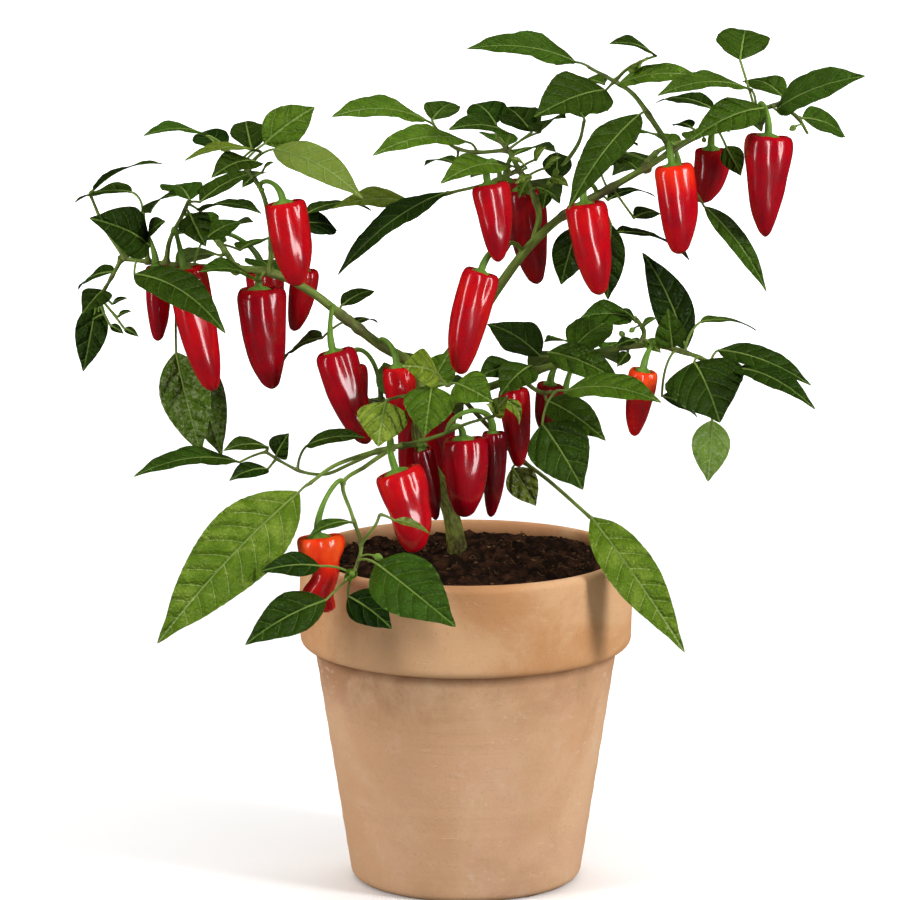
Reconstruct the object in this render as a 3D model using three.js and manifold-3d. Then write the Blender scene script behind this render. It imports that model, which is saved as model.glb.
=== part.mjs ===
// A chilli pepper plant in a terracotta pot: pot, potting soil, woody stem, leafy shoots and ripe pods.
// Millimetres, +Z up. The origin is the centre of the pot's foot and the plant's front faces -Y.
//
// The stem, the leaves and the pods are set out on a front view of the plant. A point is written
// [across, down, back]: its place on that view in pixels, and how far it lies behind the pot's axis in mm.
import * as THREE from "three";
import { mergeVertices } from "three/addons/utils/BufferGeometryUtils.js";
import Module from "manifold-3d";

const wasm = await Module();
wasm.setup();

// ---- Driving dimensions ----

const POT = {
  height: 222,
  rimRadius: 111,
  rimHeight: 62,
  neckRadius: 101.5,
  footRadius: 76.5,
  wall: 9.5,
  floor: 12,
  lip: 2.5, // how far the inside flares between shoulder and mouth, and the lip's height
  shoulder: 10, // the inside shoulder's height above the rim band's foot
  footRounding: 8,
  drainRadius: 11,
  sides: 32,
};
const SOIL = { level: 211, mound: 7, relief: 3, rings: [0.62, 0.12] };
const GAP = 0.4; // clearance between pieces that touch
const ROOT_STOCK = { depth: 62, radius: 2.5 }; // how far the stem stands in the soil, and how slim it gets

// The front view that the plant is set out on.
const VIEW = {
  mmPerPixel: 2 / 3,
  centre: 450,
  distance: 4000,
  tilt: THREE.MathUtils.degToRad(11.3),
  aim: new THREE.Vector3(-10.7, 0, 291.7),
};

const BLADE = {
  thickness: 0.8,
  arch: 0.09,
  fold: 0.14,
  wave: 0.07,
  // where a blade of up to that length has its cross sections
  stations: [
    { upTo: 42, at: [0.2, 0.62] },
    { upTo: 75, at: [0.13, 0.42, 0.74] },
    { upTo: Infinity, at: [0.1, 0.32, 0.58, 0.82] },
  ],
};
const PETIOLE_RADIUS = 0.85;
const PEDICEL_RADIUS = 1.7;
const ROOT_SHARE = 0.5; // how much slimmer a stalk or branch is where its root is sunk
const POD = {
  sides: 7,
  lobes: 0.05, // how far its three soft lobes stand out, as a share of its radius
  crown: 0.25, // radius of its sunken crown as a share of its diameter
  crownDepth: 0.035, // how far that lies below its shoulders, as a share of its length
  // where along its length it has a cross section, how wide a slim pod is there,
  // and how much wider a full one is
  sections: [
    [0, 0.78, 0.04],
    [0.1, 1, 0],
    [0.42, 0.8, 0.18],
    [0.8, 0.46, 0.24],
    [1, 0.1, 0.16],
  ],
};
const CALYX = {
  radius: 0.23, // as a share of its pod's diameter
  rise: 1.6,
  neck: 3.5,
};

// ---- The plant, set out on the front view ----

const branch = (startRadius, endRadius, points) => ({ startRadius, endRadius, points });
const leaf = (base, tip, width, facing, bow = 0) => ({ base, tip, width, facing, bow });
const pod = (name, top, tip, diameter, bend, fullness, more = {}) => {
  return { name, top, tip, diameter, bend, fullness, colour: "red", ...more };
};

const TRUNK = branch(5.9, 4, [
  [459, 566, 6],
  [454, 530, 4],
  [444, 492, 0],
  [426, 458, -4],
  [418, 430, -2],
  [425, 402, 4],
]);

const SHOOTS = [
  {
    name: "left_limb",
    branches: [
      branch(3.8, 1.2, [
        [424, 410, 4],
        [412, 366, 6],
        [380, 345, 0],
        [345, 318, -8],
        [308, 290, -14],
        [268, 272, -16],
        [228, 268, -10],
        [190, 266, 0],
        [150, 262, 10],
        [118, 258, 20],
      ]),
      branch(1.9, 1.1, [
        [270, 273, -16],
        [271, 235, -26],
        [262, 192, -30],
        [243, 165, -28],
        [231, 154, -26],
      ]),
      branch(1.9, 1, [
        [166, 264, 6],
        [170, 240, 0],
        [183, 214, -4],
        [189, 200, -6],
      ]),
      branch(1.6, 1, [
        [148, 262, 10],
        [146, 235, -6],
        [143, 212, -8],
      ]),
      branch(1.6, 0.9, [
        [122, 258, 19],
        [110, 280, 28],
        [98, 300, 38],
      ]),
      branch(1.6, 0.9, [
        [126, 259, 18],
        [104, 226, 24],
        [90, 194, 26],
      ]),
      branch(2.4, 1.2, [
        [236, 269, -12],
        [226, 252, 40],
        [214, 238, 90],
        [206, 228, 130],
      ]),
    ],
    leaves: [
      leaf([264, 144, -30], [315, 107, -16], 29, 58),
      leaf([206, 135, -30], [143, 136, -70], 26, 15),
      leaf([222, 150, -22], [196, 134, 12], 24, 30),
      leaf([252, 150, -22], [246, 121, 24], 24, 30),
      leaf([262, 152, -36], [184, 161, -78], 24, 6),
      leaf([258, 162, -40], [211, 178, -92], 24, 36),
      leaf([273, 149, -34], [363, 199, -60], 27, 46, 0.04),
      leaf([200, 202, 4], [270, 173, 60], 26, -2),
      leaf([190, 200, 6], [167, 188, 62], 28, 12),
      leaf([200, 211, -10], [262, 214, -66], 26, 12),
      leaf([190, 214, -10], [206, 247, -40], 22, 66),
      leaf([204, 240, 14], [242, 222, 44], 18, 40),
      leaf([93, 190, 24], [164, 164, -20], 22, 8),
      leaf([132, 192, 14], [74, 203, 44], 26, 14),
      leaf([150, 212, -12], [177, 196, -52], 22, 36),
      leaf([150, 246, -16], [89, 218, -58], 34, 62),
      leaf([148, 237, -14], [166, 221, -40], 18, 56),
      leaf([134, 274, -24], [226, 334, -84], 29, 46, 0.05),
      leaf([258, 282, -34], [200, 272, -84], 30, 30),
      leaf([114, 272, 32], [78, 290, 66], 20, 34),
      leaf([104, 290, 30], [82, 314, -4], 20, 46),
      leaf([97, 302, 40], [83, 372, 34], 22, 74),
      leaf([176, 352, -2], [201, 455, -12], 34, 84),
      leaf([196, 352, 12], [222, 456, 24], 28, 84),
      leaf([322, 338, 8], [284, 361, 44], 24, 34),
      leaf([296, 224, 8], [337, 230, 44], 26, 50),
      leaf([306, 214, 14], [372, 211, 74], 20, 8),
      leaf([341, 306, 4], [375, 291, 40], 15, 34),
      leaf([352, 325, 8], [378, 323, 44], 12, 12),
      leaf([240, 250, 70], [292, 244, 120], 32, -20),
      leaf([222, 244, 96], [170, 236, 136], 32, -16),
      leaf([206, 226, 132], [190, 214, 168], 26, -10),
      leaf([218, 236, 118], [254, 222, 146], 26, -30),
      leaf([222, 256, 50], [174, 268, 98], 30, -30),
      leaf([274, 276, 10], [252, 262, 62], 28, -10),
    ],
    pods: [
      pod("upper_left_1", [283, 202, -50], [298, 286, -52], 28, 0, 0.9),
      pod("upper_left_2", [304, 269, 16], [294, 331, 18], 19, 2, 0.7),
      pod("upper_left_3", [259, 288, -10], [272, 389, -14], 33, -3, 0.5),
      pod("upper_left_4", [157, 266, -12], [159, 341, -14], 17, 1, 0.8),
      pod("upper_left_5", [184, 268, -22], [213, 391, -26], 27, -2, 0.9),
      pod("upper_left_6", [333, 351, -30], [367, 444, -34], 28, -3, 0.7),
      pod("upper_left_7", [399, 367, -26], [403, 412, -28], 22, 0, 0.9),
      pod("upper_left_8", [262, 270, 92], [266, 350, 96], 26, 2, 0.5),
    ],
  },
  {
    name: "right_limb",
    branches: [
      branch(4, 1.2, [
        [424, 410, 4],
        [440, 368, 14],
        [470, 330, 16],
        [500, 285, 8],
        [528, 248, 2],
        [560, 218, -4],
        [600, 194, -8],
        [650, 165, -8],
        [690, 140, -4],
        [740, 116, 4],
        [786, 102, 10],
      ]),
      branch(2.2, 1, [
        [672, 151, -6],
        [652, 120, 4],
        [632, 93, 14],
        [612, 80, 22],
        [590, 68, 28],
      ]),
      branch(1.3, 0.9, [
        [614, 82, 21],
        [626, 70, 22],
        [640, 62, 22],
      ]),
      branch(1.4, 0.9, [
        [778, 104, 9],
        [798, 118, 0],
        [808, 134, -6],
      ]),
      branch(2.2, 1.1, [
        [646, 168, -8],
        [652, 156, 44],
        [668, 146, 92],
        [688, 140, 128],
      ]),
    ],
    leaves: [
      leaf([576, 62, 32], [466, 49, 4], 38, 26),
      leaf([606, 90, 22], [534, 117, -28], 42, 46),
      leaf([604, 84, 30], [574, 86, 66], 20, 20),
      leaf([640, 114, -4], [568, 210, -62], 30, 22),
      leaf([578, 226, 8], [561, 285, 14], 24, 84),
      leaf([611, 224, 4], [608, 300, 14], 22, 84),
      leaf([600, 170, 14], [618, 140, 50], 22, 20),
      leaf([604, 148, 22], [638, 146, 66], 20, 20),
      leaf([740, 60, 6], [746, 30, 60], 36, 20),
      leaf([656, 56, 24], [609, 44, -8], 22, 30),
      leaf([636, 72, 18], [648, 60, -10], 16, 50),
      leaf([618, 84, 16], [700, 76, -8], 26, 26),
      leaf([752, 90, 2], [657, 96, -56], 32, 18),
      leaf([782, 96, 12], [742, 82, 60], 24, 26),
      leaf([713, 109, 6], [655, 103, 56], 22, 14),
      leaf([764, 108, -14], [691, 140, -56], 28, 44),
      leaf([776, 110, 2], [866, 76, -30], 38, 36),
      leaf([802, 118, 4], [846, 138, 30], 26, 40),
      leaf([692, 128, 6], [673, 126, 34], 14, 30),
      leaf([704, 206, -14], [767, 293, -26], 18, 30),
      leaf([616, 232, 12], [690, 261, 62], 26, 14),
      leaf([634, 218, 14], [661, 214, 44], 15, 40),
      leaf([608, 200, 14], [656, 197, 66], 16, 8),
      leaf([726, 146, -6], [741, 176, -12], 16, 66),
      leaf([640, 172, 10], [612, 160, 46], 14, 14),
      leaf([688, 140, 130], [730, 132, 168], 30, -16),
      leaf([674, 146, 108], [632, 134, 150], 30, -20),
      leaf([656, 158, 58], [612, 176, 92], 28, -30),
      leaf([726, 118, 10], [762, 132, 76], 28, -16),
    ],
    pods: [
      pod("centre_1", [481, 271, -34], [459, 374, -38], 26, -4, 0.9),
      pod("right_1", [584, 203, -36], [600, 295, -40], 28, -1, 0.7),
      pod("right_2", [672, 165, -38], [680, 254, -42], 27, 2, 0.9),
      pod("right_3", [711, 149, 16], [703, 203, 16], 24, 3, 0.9),
      pod("right_4", [768, 135, -26], [765, 237, -30], 32, -2, 0.1),
      pod("right_5", [678, 172, 96], [676, 238, 100], 24, -2, 0.5),
    ],
  },
  {
    name: "upper_centre_shoot",
    branches: [
      branch(2.2, 1.1, [
        [533, 243, 1],
        [539, 215, 4],
        [531, 190, 6],
        [518, 168, 6],
        [508, 150, 12],
        [497, 139, 20],
      ]),
      branch(1.9, 1, [
        [536, 203, 5],
        [560, 170, 22],
        [579, 142, 32],
        [584, 122, 36],
      ]),
      branch(1.4, 0.9, [
        [519, 170, 6],
        [486, 184, 8],
        [450, 193, 10],
        [424, 202, 12],
      ]),
      branch(1.5, 0.9, [
        [508, 150, 12],
        [474, 152, 22],
        [452, 146, 30],
        [438, 132, 32],
      ]),
      branch(1.9, 1, [
        [530, 190, 6],
        [520, 172, 50],
        [512, 158, 96],
        [506, 146, 134],
      ]),
    ],
    leaves: [
      leaf([447, 192, 6], [337, 276, -40], 30, 8),
      leaf([412, 203, 26], [331, 209, 10], 28, 20),
      leaf([430, 122, 30], [331, 117, -16], 36, 22),
      leaf([432, 120, 40], [456, 104, 76], 24, 26),
      leaf([496, 124, 22], [473, 104, 56], 28, 30),
      leaf([468, 142, 10], [372, 156, -52], 32, 24),
      leaf([510, 134, 6], [448, 130, -34], 28, 24),
      leaf([504, 166, -6], [440, 184, -66], 28, 32),
      leaf([456, 164, 34], [424, 166, 74], 16, 10),
      leaf([532, 132, 14], [506, 107, 50], 28, 30),
      leaf([540, 132, 20], [566, 118, -20], 26, 30),
      leaf([556, 180, 12], [557, 152, 44], 20, 40),
      leaf([584, 118, 40], [560, 100, 84], 26, 16),
      leaf([506, 146, 134], [484, 134, 168], 28, -12),
      leaf([512, 156, 104], [556, 152, 146], 28, -20),
      leaf([518, 168, 62], [470, 178, 112], 30, -30),
      leaf([526, 182, 26], [560, 204, 84], 28, -30),
    ],
    pods: [
      pod("upper_centre_1", [488, 184, -30], [498, 262, -34], 26, 2, 0.4),
      pod("upper_centre_2", [522, 188, 32], [537, 284, 34], 28, -2, 0.6),
      pod("upper_centre_3", [506, 180, 96], [500, 256, 100], 25, 2, 0.5),
    ],
  },
  {
    name: "centre_shoot",
    branches: [
      branch(2.2, 1.1, [
        [422, 414, 0],
        [428, 394, -24],
        [438, 380, -44],
        [448, 386, -56],
      ]),
      branch(1.3, 0.9, [
        [426, 398, -18],
        [404, 396, -44],
        [388, 400, -58],
      ]),
    ],
    leaves: [
      leaf([438, 374, -50], [402, 366, -72], 28, 56),
      leaf([432, 386, -62], [425, 436, -84], 34, 72),
      leaf([456, 383, -58], [493, 402, -84], 28, 56),
      leaf([386, 402, -60], [378, 447, -76], 34, 76),
      leaf([430, 388, -20], [450, 352, 0], 24, 50),
    ],
    pods: [],
  },
  {
    name: "lower_left_shoot",
    branches: [
      branch(1.8, 1.2, [
        [420, 444, -4],
        [394, 447, -25],
        [360, 456, -48],
        [332, 467, -70],
        [309, 484, -88],
      ]),
      branch(1.3, 0.9, [
        [378, 451, -36],
        [350, 464, -42],
        [326, 474, -46],
        [303, 472, -46],
        [282, 462, -42],
        [266, 452, -38],
      ]),
      branch(1.6, 1, [
        [392, 448, -27],
        [366, 466, -56],
        [343, 484, -78],
        [352, 515, -92],
        [361, 548, -104],
        [353, 576, -112],
      ]),
      branch(1.6, 0.9, [
        [402, 446, -18],
        [438, 436, -34],
        [466, 424, -50],
        [494, 416, -54],
      ]),
      branch(1.2, 0.8, [
        [360, 545, -103],
        [376, 524, -106],
        [380, 514, -106],
      ]),
    ],
    leaves: [
      leaf([299, 492, -90], [157, 644, -140], 50, 66),
      leaf([268, 447, -40], [223, 451, -64], 18, 26),
      leaf([276, 456, -44], [289, 433, -56], 18, 56),
      leaf([240, 462, -44], [133, 477, -96], 30, 17),
      leaf([268, 469, -46], [229, 481, -72], 17, 36),
      leaf([306, 446, -44], [366, 438, -60], 20, 26),
      leaf([320, 566, -128], [259, 572, -142], 20, 44),
      leaf([326, 600, -126], [245, 645, -138], 30, 54),
      leaf([352, 522, -98], [309, 536, -122], 15, 14),
      leaf([376, 563, -120], [456, 627, -165], 44, 58),
      leaf([348, 596, -118], [392, 629, -128], 26, 56),
      leaf([394, 520, -108], [430, 534, -112], 9, 22),
      leaf([494, 416, -56], [508, 396, -68], 14, 60),
    ],
    pods: [
      pod("centre_2", [463, 438, -32], [465, 517, -34], 30, 1, 0.8),
      pod("centre_3", [422, 449, -25], [436, 520, -23], 14, 2, 0.6),
      pod("centre_4", [493, 432, -4], [491, 517, -4], 17, 2, 0.6),
      pod("lower_left_1", [396, 471, -74], [417, 552, -78], 33, 3, 0.8, { root: [393, 448, -27] }),
      pod("lower_left_2", [318, 536, -98], [323, 613, -102], 32, 1, 0.5, {
        root: [342, 485, -78],
        colour: "orange",
      }),
    ],
  },
  {
    name: "lower_right_shoot",
    branches: [
      branch(3.2, 1.2, [
        [424, 416, 4],
        [466, 396, 18],
        [515, 378, 26],
        [565, 362, 22],
        [610, 350, 12],
        [650, 345, 2],
        [690, 354, -8],
        [714, 364, -14],
      ]),
      branch(1.6, 1, [
        [640, 346, 5],
        [644, 332, 6],
        [636, 318, 10],
      ]),
      branch(1.6, 1, [
        [520, 378, 26],
        [540, 392, 4],
        [556, 392, -12],
      ]),
      branch(1.7, 1.2, [
        [462, 398, 17],
        [486, 424, 28],
        [512, 452, 27],
        [548, 480, -6],
        [592, 519, -52],
      ]),
      branch(2.2, 1.1, [
        [560, 363, 22],
        [572, 356, 66],
        [588, 352, 108],
        [604, 350, 138],
      ]),
    ],
    leaves: [
      leaf([591, 517, -52], [685, 653, -96], 34, 50),
      leaf([542, 424, -26], [583, 490, -52], 42, 66),
      leaf([546, 400, -2], [606, 441, -30], 28, 40),
      leaf([566, 391, -20], [662, 403, -60], 34, 26),
      leaf([540, 356, 44], [487, 324, 66], 34, 26),
      leaf([572, 350, 30], [614, 320, 56], 32, 26),
      leaf([632, 318, 8], [580, 318, -8], 26, 34),
      leaf([516, 366, 20], [478, 378, -4], 24, 40),
      leaf([530, 366, 16], [500, 396, -18], 26, 50),
      leaf([548, 352, 14], [622, 384, -8], 26, 46),
      leaf([694, 362, -20], [720, 423, -58], 54, 62),
      leaf([712, 420, -16], [708, 482, -24], 26, 84),
      leaf([672, 348, -8], [668, 308, -26], 22, 66),
      leaf([686, 350, 6], [642, 252, 26], 27, 84, -0.05),
      leaf([718, 350, -8], [812, 386, -44], 26, 26),
      leaf([734, 368, -26], [816, 410, -94], 24, 24),
      leaf([700, 322, 10], [757, 331, 40], 18, 8),
      leaf([662, 396, -14], [698, 418, -6], 17, 24),
      leaf([512, 468, 14], [536, 506, 8], 22, 78),
      leaf([604, 350, 140], [640, 344, 168], 30, -14),
      leaf([588, 352, 112], [544, 342, 154], 30, -20),
      leaf([574, 356, 76], [622, 366, 132], 30, -24),
      leaf([572, 358, 58], [528, 374, 112], 30, -30),
    ],
    pods: [
      pod("lower_right_1", [512, 389, 11], [519, 467, 8], 21, 1, 0.6),
      pod("lower_right_2", [550, 384, 46], [544, 430, 48], 19, 0, 0.9),
      pod("lower_right_3", [643, 370, -20], [634, 436, -18], 20, -1, 0.5, { colour: "orange" }),
      pod("lower_right_4", [566, 402, 112], [570, 472, 116], 25, 2, 0.5),
    ],
  },
  {
    name: "back_shoot",
    branches: [
      branch(2.8, 1.1, [
        [426, 410, 6],
        [424, 402, 46],
        [420, 392, 90],
        [416, 380, 132],
      ]),
      branch(1.6, 1, [
        [423, 398, 62],
        [394, 402, 92],
        [372, 400, 116],
      ]),
    ],
    leaves: [
      leaf([415, 378, 136], [404, 352, 168], 28, -20),
      leaf([423, 390, 104], [468, 386, 144], 30, -24),
      leaf([415, 396, 90], [378, 382, 126], 30, -20),
      leaf([372, 400, 118], [346, 412, 158], 32, -24),
      leaf([388, 403, 102], [380, 440, 146], 28, -50),
      leaf([424, 402, 52], [462, 420, 100], 32, -30),
      leaf([398, 400, 84], [384, 362, 70], 28, -20),
    ],
    pods: [
      pod("back_1", [414, 408, 104], [406, 482, 108], 27, 2, 0.5),
      pod("back_2", [436, 412, 66], [440, 486, 70], 25, -2, 0.7),
      pod("back_3", [351, 366, 98], [356, 428, 101], 20, 1, 0.5),
    ],
  },
];

// ---- Geometry helpers ----

/** The point that the front view shows at that pixel, on the plane that lies `back` mm behind the axis. */
function place([across, down, back]) {
  const focal = VIEW.distance / VIEW.mmPerPixel;
  const right = (across - VIEW.centre) / focal;
  const up = (VIEW.centre - down) / focal;
  const sine = Math.sin(VIEW.tilt);
  const cosine = Math.cos(VIEW.tilt);
  const eye = new THREE.Vector3(0, -VIEW.distance * cosine, VIEW.distance * sine).add(VIEW.aim);
  const ray = new THREE.Vector3(right, cosine + up * sine, up * cosine - sine);
  return eye.addScaledVector(ray, (back - eye.y) / ray.y);
}

/** The closed solid that a geometry bounds. */
function solidOf(geometry) {
  const bare = geometry.clone();
  bare.deleteAttribute("normal");
  bare.deleteAttribute("uv");
  const merged = mergeVertices(bare, 1e-4);
  return new wasm.Manifold(
    new wasm.Mesh({
      numProp: 3,
      vertProperties: merged.attributes.position.array,
      triVerts: new Uint32Array(merged.index.array),
    }),
  );
}

/** Every solid of the list joined into one. */
const join = (solids) => solids.reduce((whole, piece) => whole.add(piece));

/** The largest body of a solid: what a cut leaves loose is dropped. */
const largest = (solid) => solid.decompose().sort((one, other) => other.volume() - one.volume())[0];

/** A named mesh of a solid. */
function meshOf(name, solid, material) {
  const { numProp, vertProperties, triVerts } = solid.getMesh();
  const positions = [];
  for (let i = 0; i < vertProperties.length; i += numProp)
    positions.push(...vertProperties.subarray(i, i + 3));
  const geometry = new THREE.BufferGeometry();
  geometry.setAttribute("position", new THREE.Float32BufferAttribute(positions, 3));
  geometry.setIndex(Array.from(triVerts));
  geometry.computeVertexNormals();
  const mesh = new THREE.Mesh(geometry, material);
  mesh.name = name;
  return mesh;
}

/** The closed solid that a list of points and a list of triangles bound. */
function solidFrom(points, triangles) {
  return solidOf(new THREE.BufferGeometry().setFromPoints(points).setIndex(triangles.flat()));
}

/** A ring of points round a centre, in the plane of two unit vectors, with a radius for each angle. */
function ringOf(centre, first, second, radiusAt, sides) {
  return Array.from({ length: sides }, (_, k) => {
    const angle = (2 * Math.PI * k) / sides;
    const radius = radiusAt(angle);
    const point = centre.clone().addScaledVector(first, radius * Math.cos(angle));
    return point.addScaledVector(second, radius * Math.sin(angle));
  });
}

/** The closed solid over a row of rings with as many points each, closed by a fan at both ends. */
function loft(rings) {
  const sides = rings[0].length;
  const last = (rings.length - 1) * sides;
  const triangles = [];
  for (let start = 0; start < last; start += sides)
    for (let k = 0; k < sides; k++) {
      const [a, b] = [start + k, start + ((k + 1) % sides)];
      triangles.push([a, b, b + sides], [a, b + sides, a + sides]);
    }
  for (let k = 1; k + 1 < sides; k++) triangles.push([0, k + 1, k], [last, last + k, last + k + 1]);
  return solidFrom(rings.flat(), triangles);
}

/** A round section swept along points, with a radius at each. */
function sweep(points, radii, sides) {
  let normal = new THREE.Vector3(0, 0, 1);
  const rings = points.map((point, i) => {
    const ahead = points[Math.min(i + 1, points.length - 1)];
    const behind = points[Math.max(i - 1, 0)];
    const tangent = ahead.clone().sub(behind).normalize();
    if (i === 0 && Math.abs(tangent.z) > 0.8) normal.set(1, 0, 0);
    normal = normal.clone().addScaledVector(tangent, -normal.dot(tangent)).normalize();
    return ringOf(point, normal, tangent.clone().cross(normal), () => radii[i], sides);
  });
  return loft(rings);
}

// ---- Pot and soil ----

/** Radius of the pot's outer wall at a height, below the rim. */
const outerWall = (z) =>
  THREE.MathUtils.mapLinear(z, 0, POT.height - POT.rimHeight, POT.footRadius, POT.neckRadius);

/** Radii and heights of the thrown pot: tapered wall, rounded foot, thick rolled rim band, drain hole. */
function potProfile() {
  const { height, rimRadius, rimHeight, neckRadius, footRounding, wall, floor, drainRadius } = POT;
  const bandFoot = height - rimHeight;
  const mouth = rimRadius - wall - 1;
  return [
    [drainRadius, 0],
    [outerWall(0) - footRounding * 0.7, 0],
    [outerWall(0) - footRounding * 0.15, footRounding * 0.35],
    [outerWall(footRounding), footRounding],
    [neckRadius, bandFoot],
    [rimRadius - 4, bandFoot + 1.5],
    [rimRadius - 0.6, bandFoot + 7],
    [rimRadius, bandFoot + 16],
    [rimRadius, height - 6],
    [rimRadius - 3, height],
    [mouth + 1, height],
    [mouth, height - POT.lip],
    [mouth - POT.lip, bandFoot + POT.shoulder],
    [outerWall(floor) - wall, floor],
    [drainRadius, floor],
    [drainRadius, 0],
  ];
}

/** The pot, turned round its axis. */
function makePot() {
  const geometry = new THREE.LatheGeometry(
    potProfile().map(([radius, z]) => new THREE.Vector2(radius, z)),
    POT.sides,
  );
  return solidOf(geometry.rotateX(Math.PI / 2));
}

/** Radius of the pot's inside at a height, between its floor, its shoulder and its lip. */
function innerWall(z) {
  const shoulder = POT.height - POT.rimHeight + POT.shoulder;
  const mouth = POT.rimRadius - POT.wall - 1;
  const neck = mouth - POT.lip;
  if (z > shoulder) return THREE.MathUtils.mapLinear(z, shoulder, POT.height - POT.lip, neck, mouth);
  return THREE.MathUtils.mapLinear(z, POT.floor, shoulder, outerWall(POT.floor) - POT.wall, neck);
}

/** Height of the soil's crumbly surface at a place. */
function soilHeight(x, y) {
  const share = Math.hypot(x, y) / POT.rimRadius;
  const crumbs = Math.sin(0.19 * x + 1.3) * Math.cos(0.23 * y) + Math.sin(0.41 * y - 0.13 * x);
  return SOIL.level + SOIL.mound * (1 - share * share) + (SOIL.relief * crumbs) / 2;
}

/** The potting soil: it fills the pot to a little under the rim, in the pot's own number of sides. */
function makeSoil() {
  const low = POT.floor + GAP;
  const shoulder = POT.height - POT.rimHeight + POT.shoulder;
  const [right, back] = [new THREE.Vector3(0, -1, 0), new THREE.Vector3(1, 0, 0)];
  const ringAt = (z, radius) => ringOf(new THREE.Vector3(0, 0, z), right, back, () => radius, POT.sides);
  const rings = [low, shoulder, SOIL.level].map((z) => ringAt(z, innerWall(z) - GAP));
  const edge = innerWall(SOIL.level) - GAP;
  for (const share of SOIL.rings)
    rings.push(ringAt(0, edge * share).map((point) => point.setZ(soilHeight(point.x, point.y))));
  return loft(rings);
}

// ---- Stems ----

/** A branch's centreline points and their radii, tapering from its start to its end. */
function route({ points, startRadius, endRadius }, stepsPerSpan = 1) {
  const curve = new THREE.CatmullRomCurve3(points.map(place));
  const line = curve.getPoints((points.length - 1) * stepsPerSpan);
  const radii = line.map((_, i) => THREE.MathUtils.lerp(startRadius, endRadius, i / (line.length - 1)));
  return { line, radii };
}

/** A branch as a tapering rod, `extra` mm fatter where room is cut for it. */
function makeBranch(spec, extra = 0) {
  const { line, radii } = route(spec);
  const sides = spec.startRadius > 4 ? 6 : spec.startRadius > 2.5 ? 5 : 4;
  return sweep(line, radii.map((r, i) => (i ? r : r * ROOT_SHARE) + extra), sides);
}

/** The trunk, whose foot tapers down into the soil. */
function makeTrunk(extra = 0) {
  const { line, radii } = route(TRUNK);
  const foot = line[0].clone().sub(new THREE.Vector3(0, 0, ROOT_STOCK.depth + extra));
  return sweep([foot, ...line], [ROOT_STOCK.radius, ...radii].map((r) => r + extra), 8);
}

/** The point of the branches' centrelines that lies nearest to a point. */
function nearest(routes, point) {
  let best = null;
  for (const { line } of routes)
    for (let i = 0; i + 1 < line.length; i++) {
      const span = new THREE.Line3(line[i], line[i + 1]);
      const found = span.closestPointToPoint(point, true, new THREE.Vector3());
      if (!best || found.distanceTo(point) < best.distanceTo(point)) best = found;
    }
  return best;
}

// ---- Leaves ----

/** A blade's half width at a share of its length, as a share of its widest: oval with a drawn-out tip. */
const bladeOutline = (t) => (Math.sin(Math.PI * t ** 0.8) ** 0.9 * (1 - 0.25 * t)) / 0.905;

/** The stalk of a leaf: its points from the nearest branch, in a low arch, to the blade's foot. */
function petioleLine(foot, axis, routes) {
  const root = nearest(routes, foot);
  const span = root.distanceTo(foot);
  const bend = root.clone().lerp(foot, 0.5).addScaledVector(axis, -0.16 * span);
  bend.z += 0.12 * span;
  return [root, bend, foot];
}

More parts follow.
